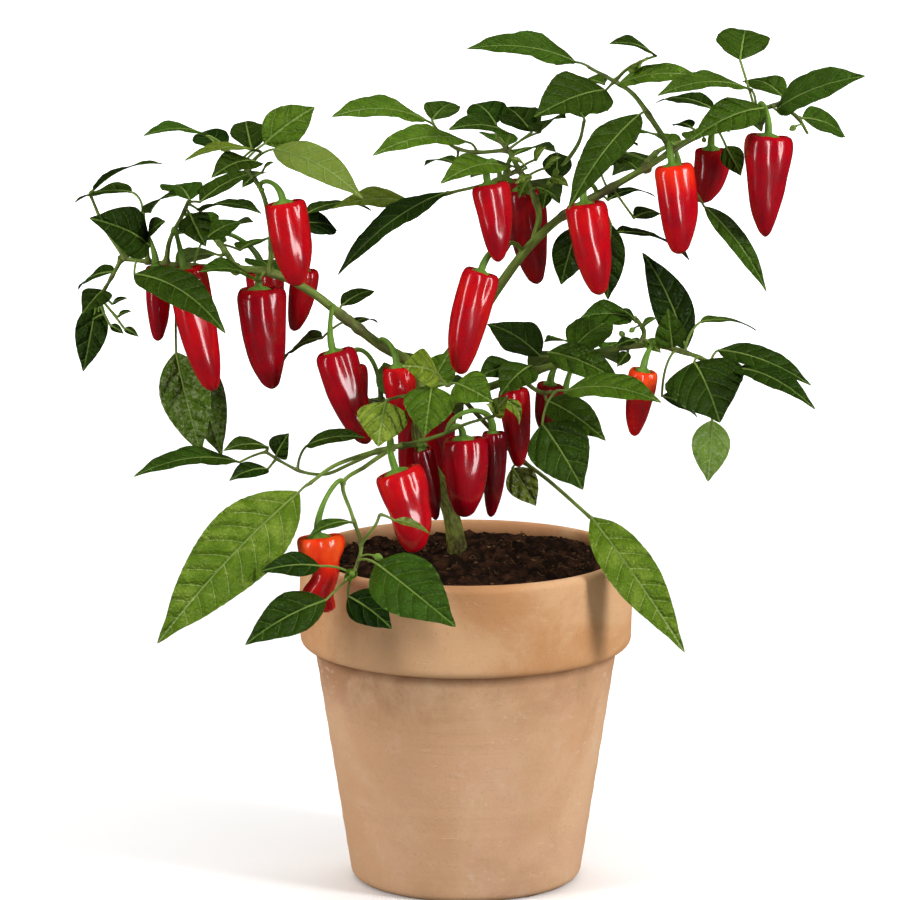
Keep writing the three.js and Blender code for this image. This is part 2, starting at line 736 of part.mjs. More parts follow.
/** One leaf: a three-sided stalk that opens into a blade folded up along its rib, arched and waved. */
function makeLeaf({ base, tip, width, facing, bow }, routes) {
  const [foot, end] = [place(base), place(tip)];
  const axis = end.clone().sub(foot);
  const length = axis.length();
  axis.normalize();
  const turn = THREE.MathUtils.degToRad(facing);
  const normal = new THREE.Vector3(0, -Math.sin(turn), Math.cos(turn));
  normal.addScaledVector(axis, -normal.dot(axis)).normalize();
  const side = normal.clone().cross(axis);
  const stalk = petioleLine(foot, axis, routes);

  // The stalk's rings of three, from the blade's foot back to the branch: left, right and underside.
  const points = [];
  const spans = stalk.slice(1).map((point, i) => point.clone().sub(stalk[i]).normalize());
  const headings = [...spans, spans.at(-1).clone().add(axis).normalize()];
  let across = side;
  for (let i = stalk.length - 1; i >= 0; i--) {
    const heading = headings[i];
    across = across.clone().addScaledVector(heading, -across.dot(heading)).normalize();
    const lift = heading.clone().cross(across);
    const radius = PETIOLE_RADIUS * (i ? 1 : ROOT_SHARE);
    const corner = (angle) => {
      const out = across.clone().multiplyScalar(Math.cos(angle)).addScaledVector(lift, Math.sin(angle));
      return stalk[i].clone().addScaledVector(out, radius);
    };
    points.unshift(corner(Math.PI / 6), corner((5 * Math.PI) / 6), corner(-Math.PI / 2));
  }
  const triangles = [[0, 2, 1]];
  for (let a = 0; a < 3 * (stalk.length - 1); a++) {
    const b = a % 3 === 2 ? a - 2 : a + 1;
    triangles.push([a, b, b + 3], [a, b + 3, a + 3]);
  }

  // The blade's cross sections: over the left margin, rib and right margin, and back underneath.
  const stations = BLADE.stations.find(({ upTo }) => length <= upTo).at;
  stations.forEach((t, i) => {
    const half = (width / 2) * bladeOutline(t);
    const rib = foot.clone().addScaledVector(axis, length * t);
    rib.addScaledVector(normal, BLADE.arch * length * 4 * t * (1 - t));
    rib.addScaledVector(side, bow * length * 4 * t * (1 - t));
    const pointAt = (u, face) => {
      const wave = i % 2 === (u > 0 ? 0 : 1) ? BLADE.wave : -BLADE.wave;
      const lift = (u ? half * (BLADE.fold + wave) : 0) + (face * BLADE.thickness) / 2;
      return rib.clone().addScaledVector(side, half * u).addScaledVector(normal, lift);
    };
    points.push(...[1, 0, -1].map((u) => pointAt(u, 1)), ...[-1, 0, 1].map((u) => pointAt(u, -1)));
  });
  points.push(end.clone().addScaledVector(normal, BLADE.thickness / 2));
  points.push(end.clone().addScaledVector(normal, -BLADE.thickness / 2));

  // From the stalk's last ring into the first cross section.
  const first = 3 * stalk.length;
  const [left, right, under] = [first - 3, first - 2, first - 1];
  const [lt, mt, rt, rb, mb, lb] = [0, 1, 2, 3, 4, 5].map((k) => first + k);
  triangles.push([left, right, mt], [right, rt, mt], [left, mt, lt], [right, rb, rt], [left, lt, lb]);
  triangles.push([right, mb, rb], [right, under, mb], [under, lb, mb], [under, left, lb]);

  // From each cross section to the next, split alike on both faces, and on to the tip.
  for (let i = 0; i + 1 < stations.length; i++) {
    const at = (k) => first + 6 * i + k;
    const to = (k) => first + 6 * (i + 1) + k;
    for (const k of [0, 1, 2, 5]) {
      const next = (k + 1) % 6;
      triangles.push([at(k), at(next), to(next)], [at(k), to(next), to(k)]);
    }
    for (const k of [3, 4]) triangles.push([at(k), at(k + 1), to(k)], [at(k + 1), to(k + 1), to(k)]);
  }
  const last = first + 6 * (stations.length - 1);
  const [over, below] = [last + 6, last + 7];
  triangles.push([last, last + 1, over], [last + 1, last + 2, over], [last + 2, last + 3, below]);
  triangles.push([last + 2, below, over], [last + 3, last + 4, below], [last + 4, last + 5, below]);
  triangles.push([last + 5, last, over], [last + 5, over, below]);
  return solidFrom(points, triangles);
}

// ---- Pods ----

/** A pod's centreline: from the middle of its shoulders to its tip, bent sideways. */
function podLine({ top, tip, bend }) {
  const [start, end] = [place(top), place(tip)];
  const middle = start.clone().lerp(end, 0.55).add(new THREE.Vector3(bend, 0, 0));
  return new THREE.QuadraticBezierCurve3(start, middle, end);
}

/** The hanging pod: sunken crown, broad shoulders, three soft lobes and a blunt tip. */
function makePod(spec) {
  const line = podLine(spec);
  const start = line.getPoint(0);
  const heading = line.getTangent(0);
  const normal = new THREE.Vector3(1, 0, 0).addScaledVector(heading, -heading.x).normalize();
  const side = heading.clone().cross(normal);
  const rings = POD.sections.map(([share, slim, extra]) => {
    const width = slim + extra * spec.fullness;
    const centre = share > 0 ? line.getPoint(share) : start;
    const radiusAt = (angle) => (spec.diameter / 2) * width * (1 + POD.lobes * Math.cos(3 * angle));
    return ringOf(centre, normal, side, radiusAt, POD.sides);
  });
  const crown = start.clone().addScaledVector(heading, POD.crownDepth * line.getLength());
  rings.unshift(ringOf(crown, normal, side, () => POD.crown * spec.diameter, POD.sides));
  return loft(rings);
}

/** The green stalk of a pod, arching out of the nearest branch, with the calyx on the pod's crown. */
function makePedicel(spec, routes) {
  const line = podLine(spec);
  const heading = line.getTangent(0);
  const seat = line.getPoint(0).addScaledVector(heading, POD.crownDepth * line.getLength() - GAP);
  const above = (rise) => seat.clone().addScaledVector(heading, -rise);
  const neck = above(CALYX.neck);
  const start = nearest(routes, spec.root ? place(spec.root) : above(16));
  const reach = start.distanceTo(neck);
  const lifted = start.clone().setZ(Math.max(start.z, neck.z) + 0.3 * reach);
  const arch = new THREE.CubicBezierCurve3(start, lifted, above(6 + 0.4 * reach), neck);
  const radii = [ROOT_SHARE, 0.95, 0.95, 1.5].map((share) => share * PEDICEL_RADIUS);
  const cap = CALYX.radius * spec.diameter;
  return sweep([...arch.getPoints(3), above(CALYX.rise), seat], [...radii, 0.95 * cap, cap], 5);
}

// ---- Assembly ----

const material = (color, roughness) => new THREE.MeshStandardMaterial({ color, roughness, metalness: 0 });
const MATERIALS = {
  terracotta: material(0xc8986a, 0.85),
  soil: material(0x2a1a12, 0.95),
  stem: material(0x6f7f3a, 0.55),
  foliage: material(0x37611c, 0.45),
  red: material(0xb50a12, 0.22),
  orange: material(0xdc3412, 0.24),
};

const plant = new THREE.Group();
plant.add(meshOf("pot", makePot(), MATERIALS.terracotta));
plant.add(meshOf("soil", makeSoil().subtract(makeTrunk(GAP)), MATERIALS.soil));
plant.add(meshOf("trunk", makeTrunk(), MATERIALS.stem));

// Each shoot is cut clear of the trunk and of the main branches of the shoots before it.
const limbs = [];
for (const shoot of SHOOTS) {
  const routes = shoot.branches.map((spec) => route(spec, 3));
  const pieces = [
    ...shoot.branches.map((spec) => makeBranch(spec)),
    ...shoot.leaves.map((spec) => makeLeaf(spec, routes)),
    ...shoot.pods.map((spec) => makePedicel(spec, routes)),
  ];
  const room = [makeTrunk(GAP), ...limbs.map((spec) => makeBranch(spec, GAP))];
  limbs.push(shoot.branches[0]);
  plant.add(meshOf(shoot.name, largest(join(pieces).subtract(join(room))), MATERIALS.foliage));
  for (const spec of shoot.pods)
    plant.add(meshOf(`pod_${spec.name}`, makePod(spec), MATERIALS[spec.colour]));
}

export default plant;
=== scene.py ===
"""The potted chilli pepper plant: pot, soil, stems, leaves and pods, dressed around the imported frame.

The plant is set out on a front view. A point there is (across, down, back): its place on the view in pixels,
and how far it lies behind the pot's axis in millimetres. Sizes are in millimetres and the meshes in metres.
"""

import functools
import itertools
import logging
import math
import random
from collections.abc import Callable, Sequence
from dataclasses import dataclass, field
from enum import Enum

import bpy
import numpy as np
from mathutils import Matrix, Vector, noise


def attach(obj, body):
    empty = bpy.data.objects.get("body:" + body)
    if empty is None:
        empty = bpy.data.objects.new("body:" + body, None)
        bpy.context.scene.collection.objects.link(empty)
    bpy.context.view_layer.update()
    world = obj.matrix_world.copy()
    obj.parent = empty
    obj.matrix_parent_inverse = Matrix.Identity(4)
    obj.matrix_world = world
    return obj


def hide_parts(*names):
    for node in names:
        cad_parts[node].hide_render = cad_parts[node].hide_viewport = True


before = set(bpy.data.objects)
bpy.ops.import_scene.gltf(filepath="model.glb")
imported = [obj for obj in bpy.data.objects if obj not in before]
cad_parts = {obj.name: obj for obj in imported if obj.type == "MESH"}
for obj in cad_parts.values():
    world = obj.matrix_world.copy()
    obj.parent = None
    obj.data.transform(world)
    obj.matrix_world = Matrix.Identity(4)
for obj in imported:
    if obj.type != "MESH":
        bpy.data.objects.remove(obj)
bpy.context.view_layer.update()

LOG = logging.getLogger("chilli_plant")
BODY = "root"
METRES = 0.001  # metres in a millimetre
GAP = 0.4  # clearance between pieces that touch, mm

Point = tuple[float, float, float]
Colour = tuple[float, float, float, float]
Socket = bpy.types.NodeSocket
Feed = float | tuple[float, ...] | Socket


# ---- The front view ----


@dataclass(frozen=True)
class FrontView:
    """The view that the plant is set out on, and the camera that sees it so.

    Attributes:
        side: the view's width and height in pixels.
        focal: the camera's focal length in pixels.
        distance: from the camera to the point it aims at, mm.
        tilt: how far the camera looks down, radians.
        aim: the point that the camera aims at, mm.
        sensor: the camera's sensor width, mm.
    """

    side: float = 900.0
    focal: float = 6000.0
    distance: float = 4000.0
    tilt: float = math.radians(11.3)
    aim: Point = (-10.7, 0.0, 291.7)
    sensor: float = 36.0

    def eye(self) -> np.ndarray:
        """The camera's place, mm."""
        return np.array(self.aim) + self.distance * np.array([0.0, -math.cos(self.tilt), math.sin(self.tilt)])

    def place(self, point: Point) -> np.ndarray:
        """Finds the point that the view shows at a pixel, on the plane that lies `back` mm behind the axis.

        Args:
            point: (across, down, back).

        Returns:
            The point in the row frame, mm.
        """
        across, down, back = point
        right = (across - self.side / 2) / self.focal
        up = (self.side / 2 - down) / self.focal
        sine, cosine = math.sin(self.tilt), math.cos(self.tilt)
        ray = np.array([right, cosine + up * sine, up * cosine - sine])
        eye = self.eye()
        return eye + ray * (back - eye[1]) / ray[1]

    def make_camera(self) -> bpy.types.Object:
        """Makes the scene's camera at the photograph's viewing angle.

        Returns:
            The camera.
        """
        data = bpy.data.cameras.new("front_camera")
        data.sensor_width = self.sensor
        data.lens = self.focal / self.side * self.sensor
        data.clip_end = 50.0
        camera = bpy.data.objects.new("front_camera", data)
        camera.location = self.eye() * METRES
        camera.rotation_euler = (math.pi / 2 - self.tilt, 0.0, 0.0)
        bpy.context.scene.collection.objects.link(camera)
        bpy.context.scene.camera = camera
        return camera


VIEW = FrontView()


# ---- What the plant is made of, set out on the front view ----


class Tone(Enum):
    """A leaf's look: how light (partly painted light and shade), how yellow and how mottled it is, each from
    0 to 1.
    """

    # painted shade: the near-black of leaves that hang in shadow
    PAINTED_SHADE_BLACK = (0.02, 0.04, 0.00)
    DARK = (0.14, 0.06, 0.01)
    DEEP = (0.28, 0.08, 0.02)
    MID = (0.45, 0.12, 0.04)
    BRIGHT = (0.66, 0.18, 0.04)
    LIGHT = (0.80, 0.34, 0.05)
    OLIVE = (0.55, 0.80, 0.10)
    YOUNG = (0.88, 0.52, 0.00)
    GREY = (0.55, 0.25, 0.55)
    ASHEN = (0.62, 0.12, 0.32)
    BROWN = (0.35, 0.95, 0.95)
    DRY = (0.45, 1.00, 0.60)


class Ripeness(Enum):
    """How ripe a pod is at its shoulders and at its tip, and where between them it stops ripening.

    0 is orange and 1 is the darkest red.
    """

    SCARLET = (0.12, 0.42, 0.70)
    BLUSH = (0.10, 0.46, 0.55)
    TURNING = (0.24, 0.62, 0.40)
    BRIGHT = (0.54, 0.60, 0.90)
    RED = (0.61, 0.66, 0.90)
    DEEP = (0.70, 0.76, 0.90)
    DARK = (0.80, 0.86, 0.90)


@dataclass(frozen=True)
class Branch:
    """A branch: its radii at its start and end, mm, and the view points that its centreline runs through."""

    start: float
    end: float
    points: tuple[Point, ...]

    def line(self, steps: int) -> np.ndarray:
        """Its smooth centreline, mm, with each span between two points split into that many steps."""
        return smooth_line([VIEW.place(point) for point in self.points], steps)


@dataclass(frozen=True)
class Leaf:
    """A leaf: the view points of its blade's foot and tip, its width in mm, the tilt of its face in degrees.

    Attributes:
        bow: how far its rib bends sideways, as a share of its length.
        turned: whether its underside is towards the front.
    """

    base: Point
    tip: Point
    width: float
    facing: float
    tone: Tone = Tone.MID
    bow: float = 0.0
    turned: bool = False


@dataclass(frozen=True)
class Pod:
    """A pod: view points of its shoulders' middle and its tip, its diameter and sideways bend, mm.

    Attributes:
        fullness: how full it stays towards its blunt tip, from 0 to 1.
        root: a view point near which its stalk leaves its branch, where that isn't the nearest place.
        waist: how much narrower it is half way, as a share.
        curl: how far it curls from side to side below its waist, mm.
    """

    name: str
    top: Point
    tip: Point
    diameter: float
    bend: float
    fullness: float
    ripeness: Ripeness = Ripeness.RED
    root: Point | None = None
    waist: float = 0.0
    curl: float = 0.0

    @property
    def orange(self) -> bool:
        """Whether it is still orange-red."""
        return self.ripeness in (Ripeness.SCARLET, Ripeness.BLUSH)


@dataclass(frozen=True)
class Bud:
    """A flower bud on its own stalk: the view point of its middle and its length, mm."""

    place: Point
    size: float


@dataclass(frozen=True)
class Shoot:
    """A leafy shoot, which grew as one piece. Its sprigs are the leaflets at its youngest twigs."""

    name: str
    branches: tuple[Branch, ...]
    leaves: tuple[Leaf, ...]
    pods: tuple[Pod, ...]
    buds: tuple[Bud, ...] = ()
    sprigs: tuple[Leaf, ...] = ()


TRUNK = Branch(5.9, 4.0, (
    (459, 566, 6), (454, 530, 4), (444, 492, 0), (426, 458, -4), (418, 430, -2), (425, 402, 4),
))

LEFT_LIMB = Shoot("left_limb", branches=(
    Branch(3.8, 1.2, (
        (424, 410, 4), (412, 366, 6), (380, 345, 0), (345, 318, -8), (308, 290, -14), (268, 272, -16),
        (228, 268, -10), (190, 266, 0), (150, 262, 10), (118, 258, 20),
    )),
    Branch(1.9, 1.1, (
        (270, 273, -16), (271, 235, -26), (262, 192, -30), (243, 165, -28), (231, 154, -26),
    )),
    Branch(1.9, 1.0, ((166, 264, 6), (170, 240, 0), (183, 214, -4), (189, 200, -6))),
    Branch(1.6, 1.0, ((148, 262, 10), (146, 235, -6), (143, 212, -8))),
    Branch(1.6, 0.9, ((122, 258, 19), (110, 280, 28), (98, 300, 38))),
    Branch(1.6, 0.9, ((126, 259, 18), (104, 226, 24), (90, 194, 26))),
    Branch(2.4, 1.2, ((236, 269, -12), (226, 252, 40), (214, 238, 90), (206, 228, 130))),
), leaves=(
    Leaf((264, 144, -30), (315, 107, -16), 29, 58, Tone.BRIGHT),
    Leaf((206, 135, -30), (143, 136, -70), 26, 15),
    Leaf((222, 150, -22), (196, 134, 12), 24, 30, Tone.DARK),
    Leaf((252, 150, -22), (246, 121, 24), 24, 30, Tone.DARK),
    Leaf((262, 152, -36), (184, 161, -78), 24, 6, Tone.OLIVE),
    Leaf((258, 162, -40), (211, 178, -92), 24, 36, Tone.DARK),
    Leaf((273, 149, -34), (363, 199, -60), 27, 46, Tone.OLIVE, bow=0.04, turned=True),
    Leaf((200, 202, 4), (270, 173, 60), 26, -2, Tone.DEEP),
    Leaf((190, 200, 6), (167, 188, 62), 28, 12),
    Leaf((200, 211, -10), (262, 214, -66), 26, 12, Tone.DARK),
    Leaf((190, 214, -10), (206, 247, -40), 22, 66, Tone.DARK),
    Leaf((204, 240, 14), (242, 222, 44), 18, 40),
    Leaf((93, 190, 24), (164, 164, -20), 22, 8, Tone.DARK),
    Leaf((132, 192, 14), (74, 203, 44), 26, 14, Tone.DEEP),
    Leaf((150, 212, -12), (177, 196, -52), 22, 36, Tone.DARK),
    Leaf((150, 246, -16), (89, 218, -58), 34, 62, Tone.DARK),
    Leaf((148, 237, -14), (166, 221, -40), 18, 56, Tone.DARK),
    Leaf((134, 274, -24), (226, 334, -84), 29, 46, Tone.DEEP, bow=0.05),
    Leaf((258, 282, -34), (200, 272, -84), 30, 30),
    Leaf((114, 272, 32), (78, 290, 66), 20, 34, Tone.DARK),
    Leaf((104, 290, 30), (82, 314, -4), 20, 46, Tone.DARK),
    Leaf((97, 302, 40), (83, 372, 34), 22, 74, Tone.DARK),
    Leaf((176, 352, -2), (201, 455, -12), 34, 84, Tone.GREY),
    Leaf((196, 352, 12), (222, 456, 24), 28, 84, Tone.GREY),
    Leaf((322, 338, 8), (284, 361, 44), 24, 34, Tone.DARK),
    Leaf((296, 224, 8), (337, 230, 44), 26, 50, Tone.DARK),
    Leaf((306, 214, 14), (372, 211, 74), 20, 8, Tone.DARK),
    Leaf((341, 306, 4), (375, 291, 40), 15, 34, Tone.DARK),
    Leaf((352, 325, 8), (378, 323, 44), 12, 12, Tone.DARK),
    Leaf((240, 250, 70), (292, 244, 120), 32, -20),
    Leaf((222, 244, 96), (170, 236, 136), 32, -16),
    Leaf((206, 226, 132), (190, 214, 168), 26, -10),
    Leaf((218, 236, 118), (254, 222, 146), 26, -30),
    Leaf((222, 256, 50), (174, 268, 98), 30, -30),
    Leaf((274, 276, 10), (252, 262, 62), 28, -10),
), pods=(
    Pod("upper_left_1", (283, 202, -50), (298, 286, -52), 28, 0, 0.9, Ripeness.BRIGHT),
    Pod("upper_left_2", (304, 269, 16), (294, 331, 18), 19, 2, 0.7),
    Pod("upper_left_3", (259, 288, -10), (272, 389, -14), 33, -3, 0.5, Ripeness.DEEP),
    Pod("upper_left_4", (156, 266, -10.5), (158, 341, -12.5), 17, 1, 0.8, Ripeness.DEEP),
    Pod("upper_left_5", (184, 268, -22), (213, 391, -26), 27, -2, 0.9, Ripeness.BRIGHT),
    Pod("upper_left_6", (333, 351, -30), (367, 444, -34), 28, -3, 0.7, Ripeness.DEEP),
    Pod("upper_left_7", (397, 367, -23), (401, 412, -25), 22, 0, 0.9, Ripeness.BRIGHT),
    Pod("upper_left_8", (262, 270, 92), (266, 350, 96), 26, 2, 0.5),
), buds=(Bud((262, 190, -36), 4.0), Bud((284, 262, -24), 4.6)), sprigs=(
    Leaf((112, 304, 30), (128, 298, 24), 6, 40, Tone.DARK),
    Leaf((104, 314, 34), (91, 321, 36), 6, 50, Tone.DARK),
    Leaf((117, 317, 28), (132, 311, 20), 6, 40, Tone.DEEP),
    Leaf((110, 325, 30), (124, 334, 26), 6, 60, Tone.DARK),
    Leaf((98, 328, 36), (89, 341, 38), 6, 60, Tone.DARK),
    Leaf((124, 328, 24), (139, 337, 18), 6, 50, Tone.DEEP),
    Leaf((262, 172, -34), (274, 162, -44), 7, 40, Tone.BRIGHT),
    Leaf((252, 178, -34), (242, 188, -44), 7, 50, Tone.DEEP),
))

RIGHT_LIMB = Shoot("right_limb", branches=(
    Branch(4.0, 1.2, (
        (424, 410, 4), (440, 368, 14), (470, 330, 16), (500, 285, 8), (528, 248, 2), (560, 218, -4),
        (600, 194, -8), (650, 165, -8), (690, 140, -4), (740, 116, 4), (786, 102, 10),
    )),
    Branch(2.2, 1.0, ((672, 151, -6), (652, 120, 4), (632, 93, 14), (612, 80, 22), (590, 68, 28))),
    Branch(1.3, 0.9, ((614, 82, 21), (626, 70, 22), (640, 62, 22))),
    Branch(1.4, 0.9, ((778, 104, 9), (798, 118, 0), (808, 134, -6))),
    Branch(2.2, 1.1, ((646, 168, -8), (652, 156, 44), (668, 146, 92), (688, 140, 128))),
), leaves=(
    Leaf((576, 62, 32), (466, 49, 4), 38, 26),
    Leaf((606, 90, 22), (534, 117, -28), 42, 46, Tone.DEEP),
    Leaf((604, 84, 30), (574, 86, 66), 20, 20),
    Leaf((640, 114, -4), (568, 210, -62), 30, 22, Tone.DEEP),
    Leaf((578, 226, 8), (561, 285, 14), 24, 84, Tone.DEEP),
    Leaf((611, 224, 4), (608, 300, 14), 22, 84, Tone.DARK),
    Leaf((600, 170, 14), (618, 140, 50), 22, 20, Tone.DARK),
    Leaf((604, 148, 22), (638, 146, 66), 20, 20, Tone.DARK),
    Leaf((740, 60, 6), (746, 30, 60), 36, 20, Tone.DEEP),
    Leaf((656, 56, 24), (609, 44, -8), 22, 30, Tone.DARK),
    Leaf((636, 72, 18), (648, 60, -10), 16, 50, Tone.YOUNG),
    Leaf((618, 84, 16), (700, 76, -8), 26, 26, Tone.BRIGHT),
    Leaf((752, 90, 2), (657, 96, -56), 32, 18),
    Leaf((782, 96, 12), (742, 82, 60), 24, 26),
    Leaf((713, 109, 6), (655, 103, 56), 22, 14, Tone.DARK),
    Leaf((764, 108, -14), (691, 140, -56), 28, 44),
    Leaf((776, 110, 2), (866, 76, -30), 38, 36),
    Leaf((802, 118, 4), (846, 138, 30), 26, 40),
    Leaf((692, 128, 6), (673, 126, 34), 14, 30, Tone.DARK),
    Leaf((704, 206, -14), (767, 293, -26), 18, 30),
    Leaf((616, 232, 12), (690, 261, 62), 26, 14, Tone.PAINTED_SHADE_BLACK),
    Leaf((634, 218, 14), (661, 214, 44), 15, 40, Tone.DARK),
    Leaf((608, 200, 14), (656, 197, 66), 16, 8, Tone.DARK),
    Leaf((726, 146, -6), (741, 176, -12), 16, 66),
    Leaf((640, 172, 10), (612, 160, 46), 14, 14),
    Leaf((688, 140, 130), (730, 132, 168), 30, -16),
    Leaf((674, 146, 108), (632, 134, 150), 30, -20),
    Leaf((656, 158, 58), (612, 176, 92), 28, -30),
    Leaf((726, 118, 10), (762, 132, 76), 28, -16),
), pods=(
    Pod("centre_1", (481, 271, -34), (459, 374, -38), 26, -4, 0.9, Ripeness.BRIGHT),
    Pod("right_1", (584, 203, -36), (600, 295, -40), 28, -1, 0.7, Ripeness.BRIGHT),
    Pod("right_2", (672, 165, -38), (680, 254, -42), 27, 2, 0.9, Ripeness.TURNING),
    Pod("right_3", (711, 149, 16), (703, 203, 16), 24, 3, 0.9),
    Pod("right_4", (768, 135, -26), (765, 237, -30), 32, -2, 0.1, Ripeness.DEEP),
    Pod("right_5", (678, 172, 96), (676, 238, 100), 24, -2, 0.5),
), buds=(Bud((638, 66, 12), 4.6), Bud((793, 128, -8), 5.0), Bud((704, 140, 6), 4.0)))

UPPER_CENTRE_SHOOT = Shoot("upper_centre_shoot", branches=(
    Branch(2.2, 1.1, (
        (533, 243, 1), (539, 215, 4), (531, 190, 6), (518, 168, 6), (508, 150, 12), (497, 139, 20),
    )),
    Branch(1.9, 1.0, ((536, 203, 5), (560, 170, 22), (579, 142, 32), (584, 122, 36))),
    Branch(1.4, 0.9, ((519, 170, 6), (486, 184, 8), (450, 193, 10), (424, 202, 12))),
    Branch(1.5, 0.9, ((508, 150, 12), (474, 152, 22), (452, 146, 30), (438, 132, 32))),
    Branch(1.9, 1.0, ((530, 190, 6), (520, 172, 50), (512, 158, 96), (506, 146, 134))),
), leaves=(
    Leaf((447, 192, 6), (337, 276, -40), 30, 8, Tone.DARK),
    Leaf((412, 203, 26), (331, 209, 10), 28, 20, Tone.OLIVE),
    Leaf((430, 122, 30), (331, 117, -16), 36, 22, Tone.BRIGHT),
    Leaf((432, 120, 40), (456, 104, 76), 24, 26),
    Leaf((496, 124, 22), (473, 104, 56), 28, 30, Tone.DEEP),
    Leaf((468, 142, 10), (372, 156, -52), 32, 24, Tone.BRIGHT),
    Leaf((510, 134, 6), (448, 130, -34), 28, 24, Tone.DEEP),
    Leaf((504, 166, -6), (440, 184, -66), 28, 32, Tone.BRIGHT),
    Leaf((456, 164, 34), (424, 166, 74), 16, 10),
    Leaf((532, 132, 14), (506, 107, 50), 28, 30, Tone.DARK),
    Leaf((540, 132, 20), (566, 118, -20), 26, 30, Tone.DEEP),
    Leaf((556, 180, 12), (557, 152, 44), 20, 40, Tone.DARK),
    Leaf((584, 118, 40), (560, 100, 84), 26, 16),
    Leaf((506, 146, 134), (484, 134, 168), 28, -12),
    Leaf((512, 156, 104), (556, 152, 146), 28, -20),
    Leaf((518, 168, 62), (470, 178, 112), 30, -30),
    Leaf((526, 182, 26), (560, 204, 84), 28, -30),
), pods=(
    Pod("upper_centre_1", (488, 184, -31.5), (499, 262, -37), 26, 2, 0.4),
    Pod("upper_centre_2", (522, 188, 32), (537, 284, 34), 28, -2, 0.6, Ripeness.DEEP),
    Pod("upper_centre_3", (506, 180, 96), (500, 256, 100), 25, 2, 0.5),
), buds=(
    Bud((556, 172, 4), 5.5),
    Bud((564, 182, 0), 5.0),
    Bud((549, 184, -2), 4.4),
    Bud((518, 160, -8), 4.2),
), sprigs=(
    Leaf((527, 168, -4), (511, 158, -14), 8, 30, Tone.YOUNG),
    Leaf((531, 176, -6), (515, 184, -18), 8, 40, Tone.YOUNG),
    Leaf((539, 188, -2), (556, 197, -14), 8, 50, Tone.BRIGHT),
    Leaf((545, 168, 0), (561, 157, -8), 9, 40, Tone.LIGHT),
    Leaf((534, 160, 2), (546, 147, -6), 9, 45, Tone.YOUNG),
    Leaf((552, 178, 2), (569, 187, -8), 8, 40, Tone.OLIVE),
    Leaf((526, 182, -2), (519, 198, -10), 8, 70, Tone.BRIGHT),
    Leaf((546, 192, 0), (543, 209, -8), 9, 75, Tone.DEEP),
))

CENTRE_SHOOT = Shoot("centre_shoot", branches=(
    Branch(2.2, 1.1, ((422, 414, 0), (428, 394, -24), (438, 380, -44), (448, 386, -56))),
    Branch(1.3, 0.9, ((426, 398, -18), (404, 396, -44), (388, 400, -58))),
), leaves=(
    Leaf((438, 374, -50), (402, 366, -72), 28, 56, Tone.YOUNG),
    Leaf((432, 386, -62), (425, 436, -84), 34, 72, Tone.BRIGHT),
    Leaf((456, 383, -58), (493, 402, -84), 28, 56, Tone.BRIGHT),
    Leaf((386, 402, -60), (378, 447, -76), 34, 76, Tone.YOUNG),
    Leaf((430, 388, -20), (450, 352, 0), 24, 50, Tone.BRIGHT),
), pods=())

LOWER_LEFT_SHOOT = Shoot("lower_left_shoot", branches=(
    Branch(1.8, 1.2, (
        (420, 444, -4), (394, 447, -25), (360, 456, -48), (332, 467, -70), (309, 484, -88),
    )),
    Branch(1.3, 0.9, (
        (378, 451, -36), (350, 464, -42), (326, 474, -46), (303, 472, -46), (282, 462, -42),
        (266, 452, -38),
    )),
    Branch(1.6, 1.0, (
        (392, 448, -27), (366, 466, -56), (343, 484, -78), (352, 515, -92), (361, 548, -104),
        (353, 576, -112),
    )),
    Branch(1.6, 0.9, ((402, 446, -18), (438, 436, -34), (466, 424, -50), (494, 416, -54))),
    Branch(1.2, 0.8, ((360, 545, -103), (376, 524, -106), (380, 514, -106))),
), leaves=(
    Leaf((299, 492, -90), (157, 644, -140), 50, 66, Tone.LIGHT),
    Leaf((268, 447, -40), (223, 451, -64), 18, 26, Tone.DEEP),
    Leaf((276, 456, -44), (289, 433, -56), 18, 56, Tone.DARK),
    Leaf((240, 462, -44), (133, 477, -96), 30, 17, Tone.DEEP),
    Leaf((268, 469, -46), (229, 481, -72), 17, 36, Tone.DARK),
    Leaf((306, 446, -44), (366, 438, -60), 20, 26, Tone.DEEP),
    Leaf((320, 566, -128), (259, 572, -142), 20, 44, Tone.DARK),
    Leaf((326, 600, -126), (245, 645, -138), 30, 54, Tone.DEEP),
    Leaf((352, 522, -98), (309, 536, -122), 15, 14),
    Leaf((376, 563, -120), (456, 627, -165), 44, 58),
    Leaf((348, 596, -118), (392, 629, -128), 26, 56, Tone.PAINTED_SHADE_BLACK),
    Leaf((394, 520, -108), (430, 534, -112), 9, 22, Tone.DRY),
    Leaf((494, 416, -56), (508, 396, -68), 14, 60, Tone.YOUNG),
), pods=(
    Pod("centre_2", (463, 438, -32), (465, 517, -34), 30, 1, 0.8, Ripeness.DEEP),
    Pod("centre_3", (422, 449, -25), (436, 520, -23), 14, 2, 0.6, Ripeness.DARK),
    Pod("centre_4", (493, 432, -4), (491, 517, -4), 17, 2, 0.6, Ripeness.DARK),
    Pod(
        "lower_left_1", (396, 471, -74), (417, 552, -78), 33, 3, 0.8, Ripeness.BRIGHT,
        root=(393, 448, -27), waist=0.1,
    ),
    Pod(
        "lower_left_2", (318, 536, -98), (323, 613, -102), 32, 1, 0.5, Ripeness.SCARLET,
        root=(342, 485, -78), waist=0.36, curl=3.0,
    ),
), buds=(Bud((378, 557, -116), 6.0), Bud((352, 574, -120), 4.6)), sprigs=(
    Leaf((500, 401, -58), (519, 425, -50), 9, 60, Tone.YOUNG, bow=0.22),
    Leaf((496, 412, -58), (486, 404, -66), 7, 50, Tone.YOUNG),
    Leaf((356, 570, -114), (344, 582, -122), 8, 60, Tone.BRIGHT),
))

